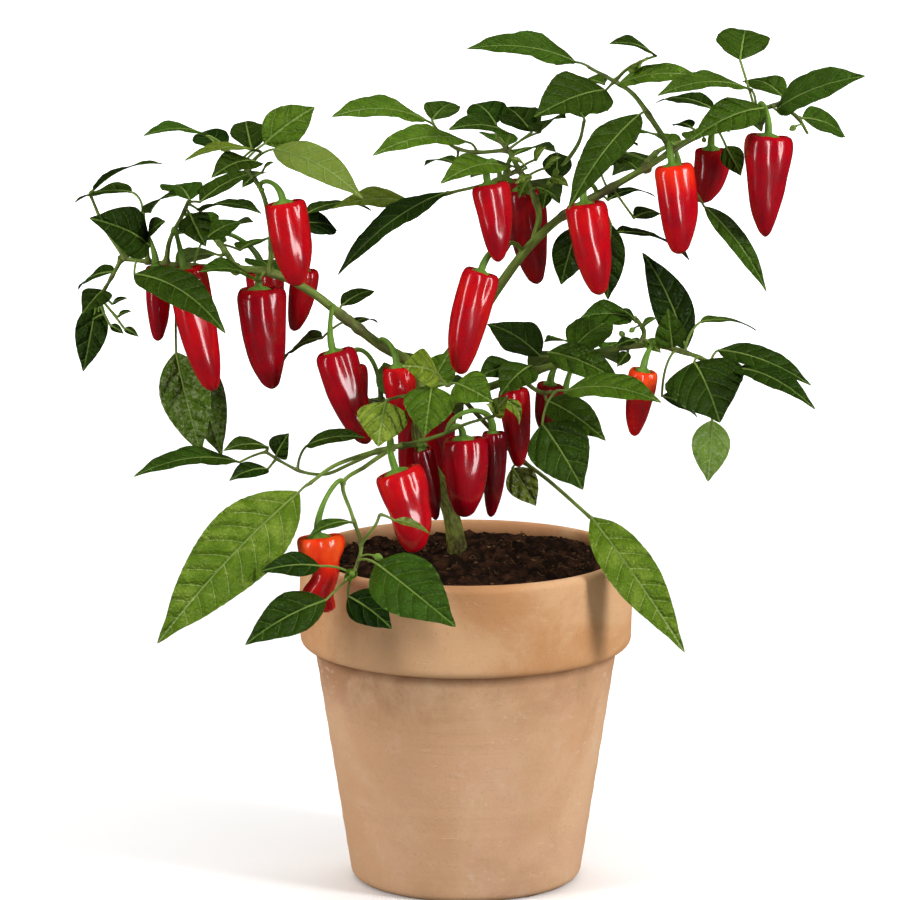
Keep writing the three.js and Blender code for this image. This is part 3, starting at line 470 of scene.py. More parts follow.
LOWER_RIGHT_SHOOT = Shoot("lower_right_shoot", branches=(
    Branch(3.2, 1.2, (
        (424, 416, 4), (466, 396, 18), (515, 378, 26), (565, 362, 22), (610, 350, 12), (650, 345, 2),
        (690, 354, -8), (714, 364, -14),
    )),
    Branch(1.6, 1.0, ((640, 346, 5), (644, 332, 6), (636, 318, 10))),
    Branch(1.6, 1.0, ((520, 378, 26), (540, 392, 4), (556, 392, -12))),
    Branch(1.7, 1.2, ((462, 398, 17), (486, 424, 28), (512, 452, 27), (548, 480, -6), (592, 519, -52))),
    Branch(2.2, 1.1, ((560, 363, 22), (572, 356, 66), (588, 352, 108), (604, 350, 138))),
), leaves=(
    Leaf((591, 517, -52), (685, 653, -96), 34, 50, Tone.LIGHT),
    Leaf((542, 424, -26), (583, 490, -52), 42, 66, Tone.DEEP),
    Leaf((546, 400, -2), (606, 441, -30), 28, 40, Tone.DEEP),
    Leaf((566, 391, -20), (662, 403, -60), 34, 26, Tone.BRIGHT),
    Leaf((540, 356, 44), (487, 324, 66), 34, 26, Tone.DARK),
    Leaf((572, 350, 30), (614, 320, 56), 32, 26),
    Leaf((632, 318, 8), (580, 318, -8), 26, 34),
    Leaf((516, 366, 20), (478, 378, -4), 24, 40, Tone.DEEP),
    Leaf((530, 366, 16), (500, 396, -18), 26, 50, Tone.DEEP),
    Leaf((548, 352, 14), (622, 384, -8), 26, 46),
    Leaf((694, 362, -20), (720, 423, -58), 54, 62, Tone.DARK),
    Leaf((712, 420, -16), (708, 482, -24), 26, 84, Tone.ASHEN, turned=True),
    Leaf((672, 348, -8), (668, 308, -26), 22, 66),
    Leaf((686, 350, 6), (642, 252, 26), 27, 84, Tone.PAINTED_SHADE_BLACK, bow=-0.05),
    Leaf((718, 350, -8), (812, 386, -44), 26, 26, Tone.DARK),
    Leaf((734, 368, -26), (816, 410, -94), 24, 24, Tone.DARK),
    Leaf((700, 322, 10), (757, 331, 40), 18, 8),
    Leaf((662, 396, -14), (698, 418, -6), 17, 24, Tone.DARK),
    Leaf((512, 468, 14), (536, 506, 8), 22, 78, Tone.BROWN),
    Leaf((604, 350, 140), (640, 344, 168), 30, -14),
    Leaf((588, 352, 112), (544, 342, 154), 30, -20),
    Leaf((574, 356, 76), (622, 366, 132), 30, -24),
    Leaf((572, 358, 58), (528, 374, 112), 30, -30),
), pods=(
    Pod("lower_right_1", (512, 389, 11), (519, 467, 8), 21, 1, 0.6),
    Pod("lower_right_2", (550, 384, 46), (544, 430, 48), 19, 0, 0.9, Ripeness.DARK),
    Pod("lower_right_3", (643, 370, -20), (634, 436, -18), 20, -1, 0.5, Ripeness.BLUSH),
    Pod("lower_right_4", (566, 402, 112), (570, 472, 116), 25, 2, 0.5),
), buds=(Bud((622, 334, 2), 5.0), Bud((614, 346, 4), 4.2), Bud((632, 330, 0), 4.4)), sprigs=(
    Leaf((636, 322, 6), (619, 309, -4), 9, 40, Tone.DEEP),
    Leaf((641, 328, 4), (657, 318, -6), 9, 40, Tone.BRIGHT),
    Leaf((634, 340, 4), (616, 347, -8), 9, 40, Tone.DEEP),
    Leaf((646, 340, 4), (661, 353, -8), 10, 60, Tone.BRIGHT),
    Leaf((628, 352, 8), (617, 367, -4), 9, 70, Tone.DEEP),
))

BACK_SHOOT = Shoot("back_shoot", branches=(
    Branch(2.8, 1.1, ((426, 410, 6), (424, 402, 46), (420, 392, 90), (416, 380, 132))),
    Branch(1.6, 1.0, ((423, 398, 62), (394, 402, 92), (372, 400, 116))),
), leaves=(
    Leaf((415, 378, 136), (404, 352, 168), 28, -20),
    Leaf((423, 390, 104), (468, 386, 144), 30, -24),
    Leaf((415, 396, 90), (378, 382, 126), 30, -20),
    Leaf((372, 400, 118), (346, 412, 158), 32, -24),
    Leaf((388, 403, 102), (380, 440, 146), 28, -50),
    Leaf((424, 402, 52), (462, 420, 100), 32, -30),
    Leaf((398, 400, 84), (384, 362, 70), 28, -20),
), pods=(
    Pod("back_1", (416.5, 409, 102.5), (408.5, 483, 106.5), 27, 2, 0.5, Ripeness.DEEP),
    Pod("back_2", (436, 412, 66), (440, 486, 70), 25, -2, 0.7, Ripeness.DEEP),
    Pod("back_3", (351, 366, 98), (356, 428, 101), 20, 1, 0.5, Ripeness.DEEP),
), buds=(Bud((414, 384, 140), 4.6),))

SHOOTS = (
    LEFT_LIMB, RIGHT_LIMB, UPPER_CENTRE_SHOOT, CENTRE_SHOOT, LOWER_LEFT_SHOOT, LOWER_RIGHT_SHOOT, BACK_SHOOT,
)


# ---- Node sheets and the effects that finishes share ----


def linear(code: str) -> Colour:
    """Turns a display colour such as "C9986C" into the linear colour that a shader takes.

    Args:
        code: six hexadecimal digits.

    Returns:
        Red, green, blue and an alpha of 1.
    """
    shares = [int(code[i : i + 2], 16) / 255 for i in (0, 2, 4)]
    red, green, blue = (s / 12.92 if s <= 0.04045 else ((s + 0.055) / 1.055) ** 2.4 for s in shares)
    return red, green, blue, 1.0


@dataclass
class NodeSheet:
    """A material's or a group's node tree, filled one node at a time."""

    tree: bpy.types.NodeTree

    def add(self, kind: str, inputs: dict[str | int, Feed] | None = None,
            **settings: object) -> bpy.types.Node:
        """Adds a node.

        Args:
            kind: the node's type, without "ShaderNode".
            inputs: what each input gets, by its name or number: an output socket, a number or a tuple.
            settings: the node's own properties.

        Returns:
            The node.
        """
        node = self.tree.nodes.new(f"ShaderNode{kind}")
        for name, value in settings.items():
            setattr(node, name, value)
        for name, value in (inputs or {}).items():
            if isinstance(value, Socket):
                self.tree.links.new(value, node.inputs[name])
            else:
                node.inputs[name].default_value = value
        return node

    def math(self, operation: str, *values: Feed, clamp: bool = False) -> Socket:
        """The result of a Math node, kept from 0 to 1 if it is clamped."""
        return self.add("Math", dict(enumerate(values)), operation=operation, use_clamp=clamp).outputs[0]

    def times(self, first: Feed, second: Feed) -> Socket:
        """One value times another."""
        return self.math("MULTIPLY", first, second)

    def scaled(self, value: Feed, factor: Feed, more: Feed) -> Socket:
        """A value times a factor, with more added to it."""
        return self.math("MULTIPLY_ADD", value, factor, more)

    def length(self, vector: Feed) -> Socket:
        """A vector's length."""
        return self.add("VectorMath", {"Vector": vector}, operation="LENGTH").outputs["Value"]

    def mix(self, factor: Feed, first: Feed, second: Feed) -> Socket:
        """The first colour with the second mixed in, by the factor."""
        inputs = {0: factor, 6: first, 7: second}
        return self.add("Mix", inputs, data_type="RGBA", blend_type="MIX", clamp_factor=True).outputs[2]

    def layered(self, colour: Feed, layers: Sequence[tuple[Feed, Feed]]) -> Socket:
        """Lays colours over a ground colour.

        Args:
            colour: the ground colour.
            layers: the share of each layer and its colour, from the lowest up.

        Returns:
            The colour of them all.
        """
        for share, layer in layers:
            colour = self.mix(share, colour, layer)
        return colour

    def span(self, value: Feed, low: Feed, high: Feed, to_low: float = 0.0, to_high: float = 1.0) -> Socket:
        """A value eased from `to_low`, where it is `low` or beyond, to `to_high`, where it is `high`."""
        ends = {"Value": value, "From Min": low, "From Max": high, "To Min": to_low, "To Max": to_high}
        return self.add("MapRange", ends, interpolation_type="SMOOTHSTEP").outputs["Result"]

    def ramp(self, factor: Feed, stops: Sequence[tuple[float, Colour]]) -> Socket:
        """Adds a colour ramp.

        Args:
            factor: where on the ramp the colour is taken.
            stops: each colour with its place from 0 to 1.

        Returns:
            The colour.
        """
        node = self.add("ValToRGB", {"Fac": factor})
        elements = node.color_ramp.elements
        while len(elements) < len(stops):
            elements.new(0.5)
        for element, (place, colour) in zip(elements, stops):
            element.position = place
            element.color = colour
        return node.outputs["Color"]

    def object_place(self) -> Socket:
        """The point's place on the object, in metres."""
        return self.add("TexCoord").outputs["Object"]

    def tint(self) -> bpy.types.NodeOutputs:
        """The mesh's tint, split into its red, green and blue."""
        colour = self.add("Attribute", attribute_name="tint").outputs["Color"]
        return self.add("SeparateColor", {"Color": colour}).outputs

    def stretched(self, vector: Feed, scale: Point) -> Socket:
        """A vector stretched along its axes."""
        return self.add("Mapping", {"Vector": vector, "Scale": scale}).outputs["Vector"]

    def noise(self, vector: Feed, scale: Feed, detail: float, **more: float) -> Socket:
        """A noise's value, from 0 to 1."""
        inputs = {"Vector": vector, "Scale": scale, "Detail": detail, **more}
        return self.add("TexNoise", inputs).outputs["Fac"]

    def bump(self, height: Feed, distance: float, strength: float, normal: Feed | None = None) -> Socket:
        """Relief on top of the relief underneath it: a height of 1 is `distance` metres high."""
        inputs = {"Height": height, "Distance": distance, "Strength": strength}
        return self.add("Bump", inputs if normal is None else {**inputs, "Normal": normal}).outputs["Normal"]

    def group(self, effect: "Effect", **inputs: Feed) -> bpy.types.NodeOutputs:
        """Places a shared effect, feeds its inputs and gives its outputs."""
        return self.add("Group", inputs, node_tree=effect.tree()).outputs

    def blotches(self, vector: Feed, scale: float, low: float, high: float) -> Socket:
        """A mask of soft blotches: bare where a noise is under `low` and covered where it is over `high`."""
        return self.group(MOTTLING, Vector=vector, Scale=scale, Low=low, High=high)["Mask"]

    def grained(self, vector: Feed, scale: float, distance: float, strength: float,
                normal: Feed | None = None) -> Socket:
        """Fine uneven relief on top of the relief underneath it."""
        height = self.group(GRAIN, Vector=vector, Scale=scale)["Height"]
        return self.bump(height, distance, strength, normal)

    def streaks(self, scale: float) -> Socket:
        """Streaks that run along a stalk or a pod, by its mesh's grain."""
        grain = self.add("Attribute", attribute_name="grain").outputs["Vector"]
        return self.group(STREAKS, Grain=grain, Scale=scale)["Streak"]


@dataclass(frozen=True)
class Effect:
    """An effect that several finishes share, as a node group.

    Attributes:
        name: the group's name.
        inputs: each input's name, with "Vector" or "Float" and its plain value.
        outputs: the names of its outputs.
        fill: puts the nodes in, given the sheet and the inputs, and returns the outputs in their order.
    """

    name: str
    inputs: tuple[tuple[str, str, Feed], ...]
    outputs: tuple[str, ...]
    fill: Callable[[NodeSheet, dict[str, Socket]], Sequence[Socket]]

    @functools.cache
    def tree(self) -> bpy.types.NodeTree:
        """Makes the group the first time that it is asked for.

        Returns:
            The node group.
        """
        tree = bpy.data.node_groups.new(self.name, "ShaderNodeTree")
        for name, kind, value in self.inputs:
            socket = tree.interface.new_socket(name=name, in_out="INPUT", socket_type=f"NodeSocket{kind}")
            socket.default_value = value
        for name in self.outputs:
            tree.interface.new_socket(name=name, in_out="OUTPUT", socket_type="NodeSocketFloat")
        source = tree.nodes.new("NodeGroupInput")
        result = tree.nodes.new("NodeGroupOutput")
        made = self.fill(NodeSheet(tree), {name: source.outputs[name] for name, _, _ in self.inputs})
        for name, socket in zip(self.outputs, made):
            tree.links.new(socket, result.inputs[name])
        return tree


def fill_mottling(sheet: NodeSheet, given: dict[str, Socket]) -> Sequence[Socket]:
    """Fills the group of soft-edged blotches."""
    cloud = sheet.noise(given["Vector"], given["Scale"], 6.0, Roughness=0.62, Distortion=0.4)
    return [sheet.span(cloud, given["Low"], given["High"])]


def fill_grain(sheet: NodeSheet, given: dict[str, Socket]) -> Sequence[Socket]:
    """Fills the group of fine uneven relief: a coarse and a fine noise together."""
    fine = sheet.times(sheet.noise(given["Vector"], sheet.times(given["Scale"], 4.3), 2.0), 0.35)
    return [sheet.scaled(sheet.noise(given["Vector"], given["Scale"], 5.0), 0.65, fine)]


def fill_streaks(sheet: NodeSheet, given: dict[str, Socket]) -> Sequence[Socket]:
    """Fills the group of streaks, which run along the grain's z."""
    along = sheet.stretched(given["Grain"], (1.0, 1.0, 0.07))
    return [sheet.span(sheet.noise(along, given["Scale"], 4.0, Roughness=0.6), 0.36, 0.66)]


def fill_veins(sheet: NodeSheet, given: dict[str, Socket]) -> Sequence[Socket]:
    """Fills the group of a blade's midrib, side veins and fine net, and the quilting between them.

    Args:
        sheet: the group's sheet.
        given: Phase, which is whole on a side vein, Off, the mm from the midrib, Margin, which is 1 at the
            margin, and Vector.

    Returns:
        The midrib's mask, the side veins' mask, the net's mask and the quilting's height.
    """
    share = sheet.math("FRACT", given["Phase"])
    clear = sheet.math("SUBTRACT", 1.0, sheet.math("ABSOLUTE", sheet.scaled(share, 2.0, -1.0)))
    lateral = sheet.times(sheet.span(clear, 0.09, 0.01), sheet.span(given["Margin"], 0.97, 0.62))
    rib = sheet.span(given["Off"], 0.80, 0.25)
    cells = {"Vector": given["Vector"], "Scale": 330.0, "Randomness": 0.9}
    edge = sheet.add("TexVoronoi", cells, feature="DISTANCE_TO_EDGE").outputs["Distance"]
    net = sheet.span(edge, 0.09, 0.01)
    pillow = sheet.math("POWER", sheet.span(clear, 0.0, 0.75), 0.7)
    swell = sheet.times(pillow, sheet.span(given["Off"], 0.2, 2.6))
    return [rib, lateral, net, sheet.scaled(sheet.span(edge, 0.0, 0.32), 0.3, swell)]


ORIGIN: Point = (0.0, 0.0, 0.0)
MOTTLING = Effect(
    "mottling",
    (("Vector", "Vector", ORIGIN), ("Scale", "Float", 20.0), ("Low", "Float", 0.45), ("High", "Float", 0.6)),
    ("Mask",),
    fill_mottling,
)
GRAIN = Effect("grain", (("Vector", "Vector", ORIGIN), ("Scale", "Float", 300.0)), ("Height",), fill_grain)
VEINS = Effect(
    "veins",
    (("Phase", "Float", 0.0), ("Off", "Float", 0.0), ("Margin", "Float", 0.0), ("Vector", "Vector", ORIGIN)),
    ("Rib", "Lateral", "Net", "Height"),
    fill_veins,
)
STREAKS = Effect("streaks", (("Grain", "Vector", ORIGIN), ("Scale", "Float", 2.0)), ("Streak",), fill_streaks)


# ---- Finishes ----


@dataclass(frozen=True)
class Finish:
    """What a surface looks like. Each kind of finish says what its own shader is fed."""

    name: str

    @functools.cache
    def material(self) -> bpy.types.Material:
        """Makes the material the first time that it is asked for.

        Returns:
            The material.
        """
        made = bpy.data.materials.new(self.name)
        made.use_nodes = True
        made.node_tree.nodes.clear()
        sheet = NodeSheet(made.node_tree)
        shader = sheet.add("BsdfPrincipled", self.feeds(sheet))
        sheet.add("OutputMaterial", {"Surface": shader.outputs["BSDF"]})
        return made

    def feeds(self, sheet: NodeSheet) -> dict[str, Feed]:
        """Says what each input of the Principled shader gets, and adds the nodes for it to the sheet."""
        raise NotImplementedError


@dataclass(frozen=True)
class TerracottaFinish(Finish):
    """Fired clay: blotches, lime bloom, scuffs, a stain under the rim band, a painted shadow in the corner
    right under the band and fine grain.

    Attributes:
        clay: the ground colour.
        pale: the colour of its lighter blotches.
        rosy: the colour of its redder blotches.
        chalky: what the body under the rim band is paler by.
        bloom: the colour of lime bloom and scuffs.
        stain: the colour under the rim band.
        painted_band_shadow: the colour of the painted shadow in the corner right under it.
        damp: the colour of the inside above the soil.
        band_foot: the height of the rim band's foot, m.
        soil_line: the heights between which the inside turns damp, m.
        wall_middle: the radius of the wall's middle at the pot's foot, m.
        wall_slope: how much that grows for each metre of height.
    """

    clay: Colour = linear("CB9566")
    pale: Colour = linear("DAAD82")
    rosy: Colour = linear("D69C7C")
    chalky: Colour = linear("E6C2A2")
    bloom: Colour = linear("E4C6A8")
    stain: Colour = linear("94643F")
    painted_band_shadow: Colour = linear("6E4529")
    damp: Colour = linear("8A5C3A")
    band_foot: float = 0.160
    soil_line: tuple[float, float] = (0.2195, 0.2125)
    wall_middle: float = 0.0715
    wall_slope: float = 0.156

    def feeds(self, sheet: NodeSheet) -> dict[str, Feed]:
        """Says what each input of the shader gets.

        Args:
            sheet: the material's sheet.

        Returns:
            What each input gets, by its name.
        """
        place = sheet.object_place()
        blotches = functools.partial(sheet.blotches, place)
        axes = sheet.add("SeparateXYZ", {"Vector": place}).outputs
        height, foot = axes["Z"], self.band_foot
        body = sheet.span(height, foot + 0.002, foot - 0.002)
        scuff = sheet.blotches(sheet.stretched(place, (1.0, 1.0, 3.0)), 70.0, 0.60, 0.68)
        under = sheet.times(sheet.span(height, foot - 0.055, foot - 0.004), body)
        stain = sheet.times(under, blotches(16.0, 0.36, 0.58))
        leftward = sheet.scaled(sheet.span(axes["X"], 0.03, -0.03), 0.34, 0.26)
        flecks = sheet.blotches(sheet.stretched(place, (1.0, 1.0, 1.6)), 150.0, 0.58, 0.66)
        flecks = sheet.times(flecks, sheet.times(blotches(9.0, 0.44, 0.60), body))
        # painted shadow: the body darkens just under the rim band's overhang
        corner = sheet.times(sheet.span(height, foot - 0.009, foot - 0.001), body)
        off = sheet.length(sheet.stretched(place, (1.0, 1.0, 0.0)))
        past_middle = sheet.math("SUBTRACT", off, sheet.scaled(height, self.wall_slope, self.wall_middle))
        wet = sheet.times(sheet.span(past_middle, 0.001, -0.001), sheet.span(height, *self.soil_line))
        layers = (
            (blotches(11.0, 0.40, 0.62), self.pale),
            (sheet.times(blotches(17.0, 0.46, 0.60), sheet.scaled(body, 0.35, 0.12)), self.rosy),
            (sheet.times(body, 0.38), self.chalky),
            (sheet.times(blotches(38.0, 0.53, 0.70), sheet.scaled(body, 0.20, 0.04)), self.bloom),
            (sheet.times(scuff, 0.20), self.bloom),
            (sheet.times(stain, leftward), self.stain),
            (sheet.times(sheet.times(blotches(7.0, 0.50, 0.66), body), 0.22), self.stain),
            (sheet.times(flecks, 0.55), self.bloom),
            # the painted shadow in the corner under the rim band
            (sheet.times(corner, sheet.scaled(blotches(24.0, 0.30, 0.60), 0.30, 0.32)), self.painted_band_shadow),
            (sheet.times(blotches(520.0, 0.56, 0.70), 0.22), self.stain),
            (sheet.times(wet, 0.75), self.damp),
        )
        wheel = sheet.bump(sheet.noise(sheet.stretched(place, (4.0, 4.0, 260.0)), 1.0, 2.0), 0.00045, 0.55)
        return {
            "Base Color": sheet.layered(self.clay, layers),
            "Roughness": sheet.span(blotches(30.0, 0.35, 0.65), 0, 1, 0.78, 0.92),
            "Specular IOR Level": 0.10,
            "Normal": sheet.bump(scuff, 0.0002, 0.6, sheet.grained(place, 420.0, 0.00035, 0.6, wheel)),
        }


@dataclass(frozen=True)
class SoilFinish(Finish):
    """Peaty potting soil: near black, with browner crumbs."""

    dark: Colour = linear("1B110B")
    brown: Colour = linear("4A3020")
    straw: Colour = linear("8A6A45")

    def feeds(self, sheet: NodeSheet) -> dict[str, Feed]:
        """Says what each input of the shader gets.

        Args:
            sheet: the material's sheet.

        Returns:
            What each input gets, by its name.
        """
        place = sheet.object_place()
        tint = sheet.add("Attribute", attribute_name="tint").outputs["Fac"]
        blotch = sheet.blotches(place, 120.0, 0.42, 0.68)
        return {
            "Base Color": sheet.layered(
                self.dark, ((sheet.times(blotch, 0.75), self.brown), (tint, self.straw))
            ),
            "Roughness": sheet.span(blotch, 0, 1, 0.82, 0.95),
            "Specular IOR Level": 0.08,
            "Normal": sheet.grained(place, 480.0, 0.0012, 0.9),
        }


@dataclass(frozen=True)
class StemFinish(Finish):
    """Stem: green and streaked, browner with age, purple-brown round its nodes, and darker at the soil with
    soil dust and painted contact shade.
    """

    green: Colour = linear("7C9440")
    shade: Colour = linear("4E6324")
    bark: Colour = linear("7D7A40")
    knot: Colour = linear("55403A")
    earth_and_shade: Colour = linear("2C1C11")
    roughness: float = 0.5
    streak_scale: float = 1.1

    def feeds(self, sheet: NodeSheet) -> dict[str, Feed]:
        """Says what each input of the shader gets.

        Args:
            sheet: the material's sheet.

        Returns:
            What each input gets, by its name.
        """
        place, tint, streak = sheet.object_place(), sheet.tint(), sheet.streaks(self.streak_scale)
        knot = sheet.scaled(sheet.blotches(place, 160.0, 0.35, 0.6), 0.45, 0.15)
        smear = sheet.scaled(sheet.blotches(place, 210.0, 0.34, 0.62), 0.6, 0.1)
        layers = (
            (sheet.times(streak, 0.8), self.shade),
            (sheet.times(tint["Green"], sheet.scaled(streak, 0.5, 0.5)), self.bark),
            (sheet.times(tint["Red"], knot), self.knot),
            # soil dust and painted contact shade, darkest at the soil
            (sheet.math("MULTIPLY", sheet.scaled(streak, 0.5, smear), tint["Blue"], clamp=True), self.earth_and_shade),
        )
        return {
            "Base Color": sheet.layered(self.green, layers),
            "Roughness": sheet.span(streak, 0, 1, self.roughness - 0.06, self.roughness + 0.14),
            "Specular IOR Level": 0.20,
            "Normal": sheet.grained(place, 900.0, 0.00012, 0.6, sheet.bump(streak, 0.0003, 0.7)),
        }


@dataclass(frozen=True)
class BladeFinish(Finish):
    """One face of the leaf blades: shades by each leaf's tone, with veins, quilting, painted shade in the
    quilting's hollows and mottling.

    Attributes:
        shades: the colours from the deepest tone to the lightest.
        olive: the colour of a yellowing leaf.
        vein: the veins' colour on a deep blade.
        pale_vein: their colour on a light one.
        worn: the colour of the mottling.
        vein_share: how strongly the side veins show.
        rib_share: how strongly the midrib shows.
        relief: the quilting's height in metres, negative where the veins stand out.
        roughness: the roughness at its smoothest.
    """

    shades: tuple[Colour, ...] = (
        linear("142C06"), linear("213F06"), linear("31560A"), linear("4F7412"), linear("95AC42"),
    )
    olive: Colour = linear("7F8A22")
    vein: Colour = linear("8CAF4C")
    pale_vein: Colour = linear("D2E09C")
    worn: Colour = linear("8E9B6C")
    vein_share: float = 0.20
    rib_share: float = 0.42
    relief: float = 0.0019
    roughness: float = 0.36

    def feeds(self, sheet: NodeSheet) -> dict[str, Feed]:
        """Says what each input of the shader gets.

        Args:
            sheet: the material's sheet.

        Returns:
            What each input gets, by its name.
        """
        place, tint = sheet.object_place(), sheet.tint()
        margin = sheet.add("Attribute", attribute_name="tint").outputs["Alpha"]
        chart = sheet.add("SeparateXYZ", {"Vector": sheet.add("UVMap", uv_map="veins").outputs["UV"]}).outputs
        veins = sheet.group(VEINS, Phase=chart["X"], Off=chart["Y"], Margin=margin, Vector=place)
        cloud = sheet.blotches(place, 75.0, 0.38, 0.66)
        light = sheet.scaled(cloud, 0.16, sheet.math("SUBTRACT", tint["Red"], 0.10))
        light = sheet.scaled(veins["Net"], -0.06, light)
        last = len(self.shades) - 1
        ground = sheet.ramp(light, [(i / last, shade) for i, shade in enumerate(self.shades)])
        pale = sheet.span(light, 0.5, 0.9)
        side = sheet.times(veins["Lateral"], sheet.scaled(pale, 0.08, self.vein_share))
        # painted shade: the quilting's low hollows along the veins are darkened
        hollow = sheet.times(sheet.span(veins["Height"], 0.55, 0.05), 0.22)
        layers = (
            (sheet.times(tint["Green"], 0.62), self.olive),
            (sheet.times(sheet.blotches(place, 380.0, 0.46, 0.62), tint["Blue"]), self.worn),
            (
                sheet.math("MAXIMUM", side, sheet.times(veins["Rib"], self.rib_share)),
                sheet.mix(pale, self.vein, self.pale_vein),
            ),
            # the painted shade in the hollows, in the deepest leaf colour
            (sheet.math("SUBTRACT", hollow, side, clamp=True), self.shades[0]),
        )
        quilt = sheet.bump(veins["Height"], self.relief, 1.0)
        return {
            "Base Color": sheet.layered(ground, layers),
            "Roughness": sheet.span(cloud, 0, 1, self.roughness, self.roughness + 0.14),
            "Specular IOR Level": 0.13,
            "Normal": sheet.grained(place, 700.0, 0.00016, 0.7, quilt),
        }


@dataclass(frozen=True)
class PepperFinish(Finish):
    """Waxy pepper skin, from orange through red to dark red, by how ripe it is there."""

    stops: tuple[tuple[float, Colour], ...] = (
        (0.0, linear("FF5A1E")),
        (0.22, linear("EE2A10")),
        (0.5, linear("C80A16")),
        (0.7, linear("A00216")),
        (1.0, linear("5C0210")),
    )
    coat: float = 0.9

    def feeds(self, sheet: NodeSheet) -> dict[str, Feed]:
        """Says what each input of the shader gets.

        Args:
            sheet: the material's sheet.

        Returns:
            What each input gets, by its name.
        """
        place, streak = sheet.object_place(), sheet.streaks(1.6)
        cloud = sheet.blotches(place, 60.0, 0.36, 0.64)
        shift = sheet.scaled(streak, 0.08, sheet.times(cloud, 0.12))
        ripe = sheet.math("ADD", sheet.tint()["Red"], sheet.math("SUBTRACT", shift, 0.10))
        return {
            "Base Color": sheet.ramp(ripe, self.stops),
            "Roughness": sheet.span(cloud, 0, 1, 0.20, 0.30),
            "Specular IOR Level": 0.16,
            "Coat Weight": self.coat,
            "Coat Roughness": 0.13,
            "Normal": sheet.grained(place, 260.0, 0.00018, 0.5, sheet.bump(streak, 0.00035, 0.5)),
        }


@dataclass(frozen=True)
class FloorFinish(Finish):
    """The studio's plain pale floor, which throws less light back than it shows, and least of all to mirrors.

    Attributes:
        tone: its colour as it shows.
        thrown: its colour in the light that it throws back.
        mirrored: its colour in what glossy surfaces mirror.
        lit: how far from the middle the lights keep it white, m.
        even: how far from the middle it has become evenly white by itself, m.
        glow: how brightly it then shows.
    """

    tone: Colour = linear("FFFFFF")
    thrown: Colour = linear("9C9A96")
    mirrored: Colour = linear("30302E")
    lit: float = 0.9
    even: float = 2.8
    glow: float = 0.75

    def feeds(self, sheet: NodeSheet) -> dict[str, Feed]:
        """Says what each input of the shader gets.

        Args:
            sheet: the material's sheet.

        Returns:
            What each input gets, by its name.
        """
        path = sheet.add("LightPath").outputs
        seen = path["Is Camera Ray"]
        thrown = sheet.mix(path["Is Glossy Ray"], self.thrown, self.mirrored)
        far = sheet.times(sheet.span(sheet.length(sheet.object_place()), self.lit, self.even), seen)
        return {
            "Base Color": sheet.mix(seen, thrown, self.tone),
            "Emission Color": sheet.mix(far, linear("000000"), self.tone),
            "Emission Strength": self.glow,
            "Roughness": 0.9,
            "Specular IOR Level": 0.1,
        }


TERRACOTTA = TerracottaFinish("fired_clay")
SOIL = SoilFinish("peaty_soil")
STEM = StemFinish("green_stem")
TRUNK_SKIN = StemFinish(
    "trunk_skin", green=linear("7F8D3A"), shade=linear("2E3414"), bark=linear("7C7438"), roughness=0.6,
    streak_scale=2.7,
)
STALK = StemFinish(
    "leaf_stalk", green=linear("7A9642"), shade=linear("526E28"), bark=linear("A9B75E"),
    knot=linear("6B5540"), roughness=0.42,
)
CALYX = StemFinish(
    "green_calyx", green=linear("6F9638"), shade=linear("4A7022"), bark=linear("93A24C"),
    knot=linear("6E6A3A"), roughness=0.38,
)
BLADE_TOP = BladeFinish("blade_top")
BLADE_UNDER = BladeFinish(
    "blade_under",
    shades=(linear("2C4416"), linear("3F5E1E"), linear("557829"), linear("749438"), linear("9CB458")),
    olive=linear("7C8630"), vein=linear("A8BE70"), worn=linear("A5AE86"), vein_share=0.26, relief=-0.0005,
    roughness=0.48,
)
RED_SKIN = PepperFinish("red_skin")
ORANGE_SKIN = PepperFinish("orange_skin", coat=0.8)
FLOOR = FloorFinish("pale_floor")


# ---- Meshes ----


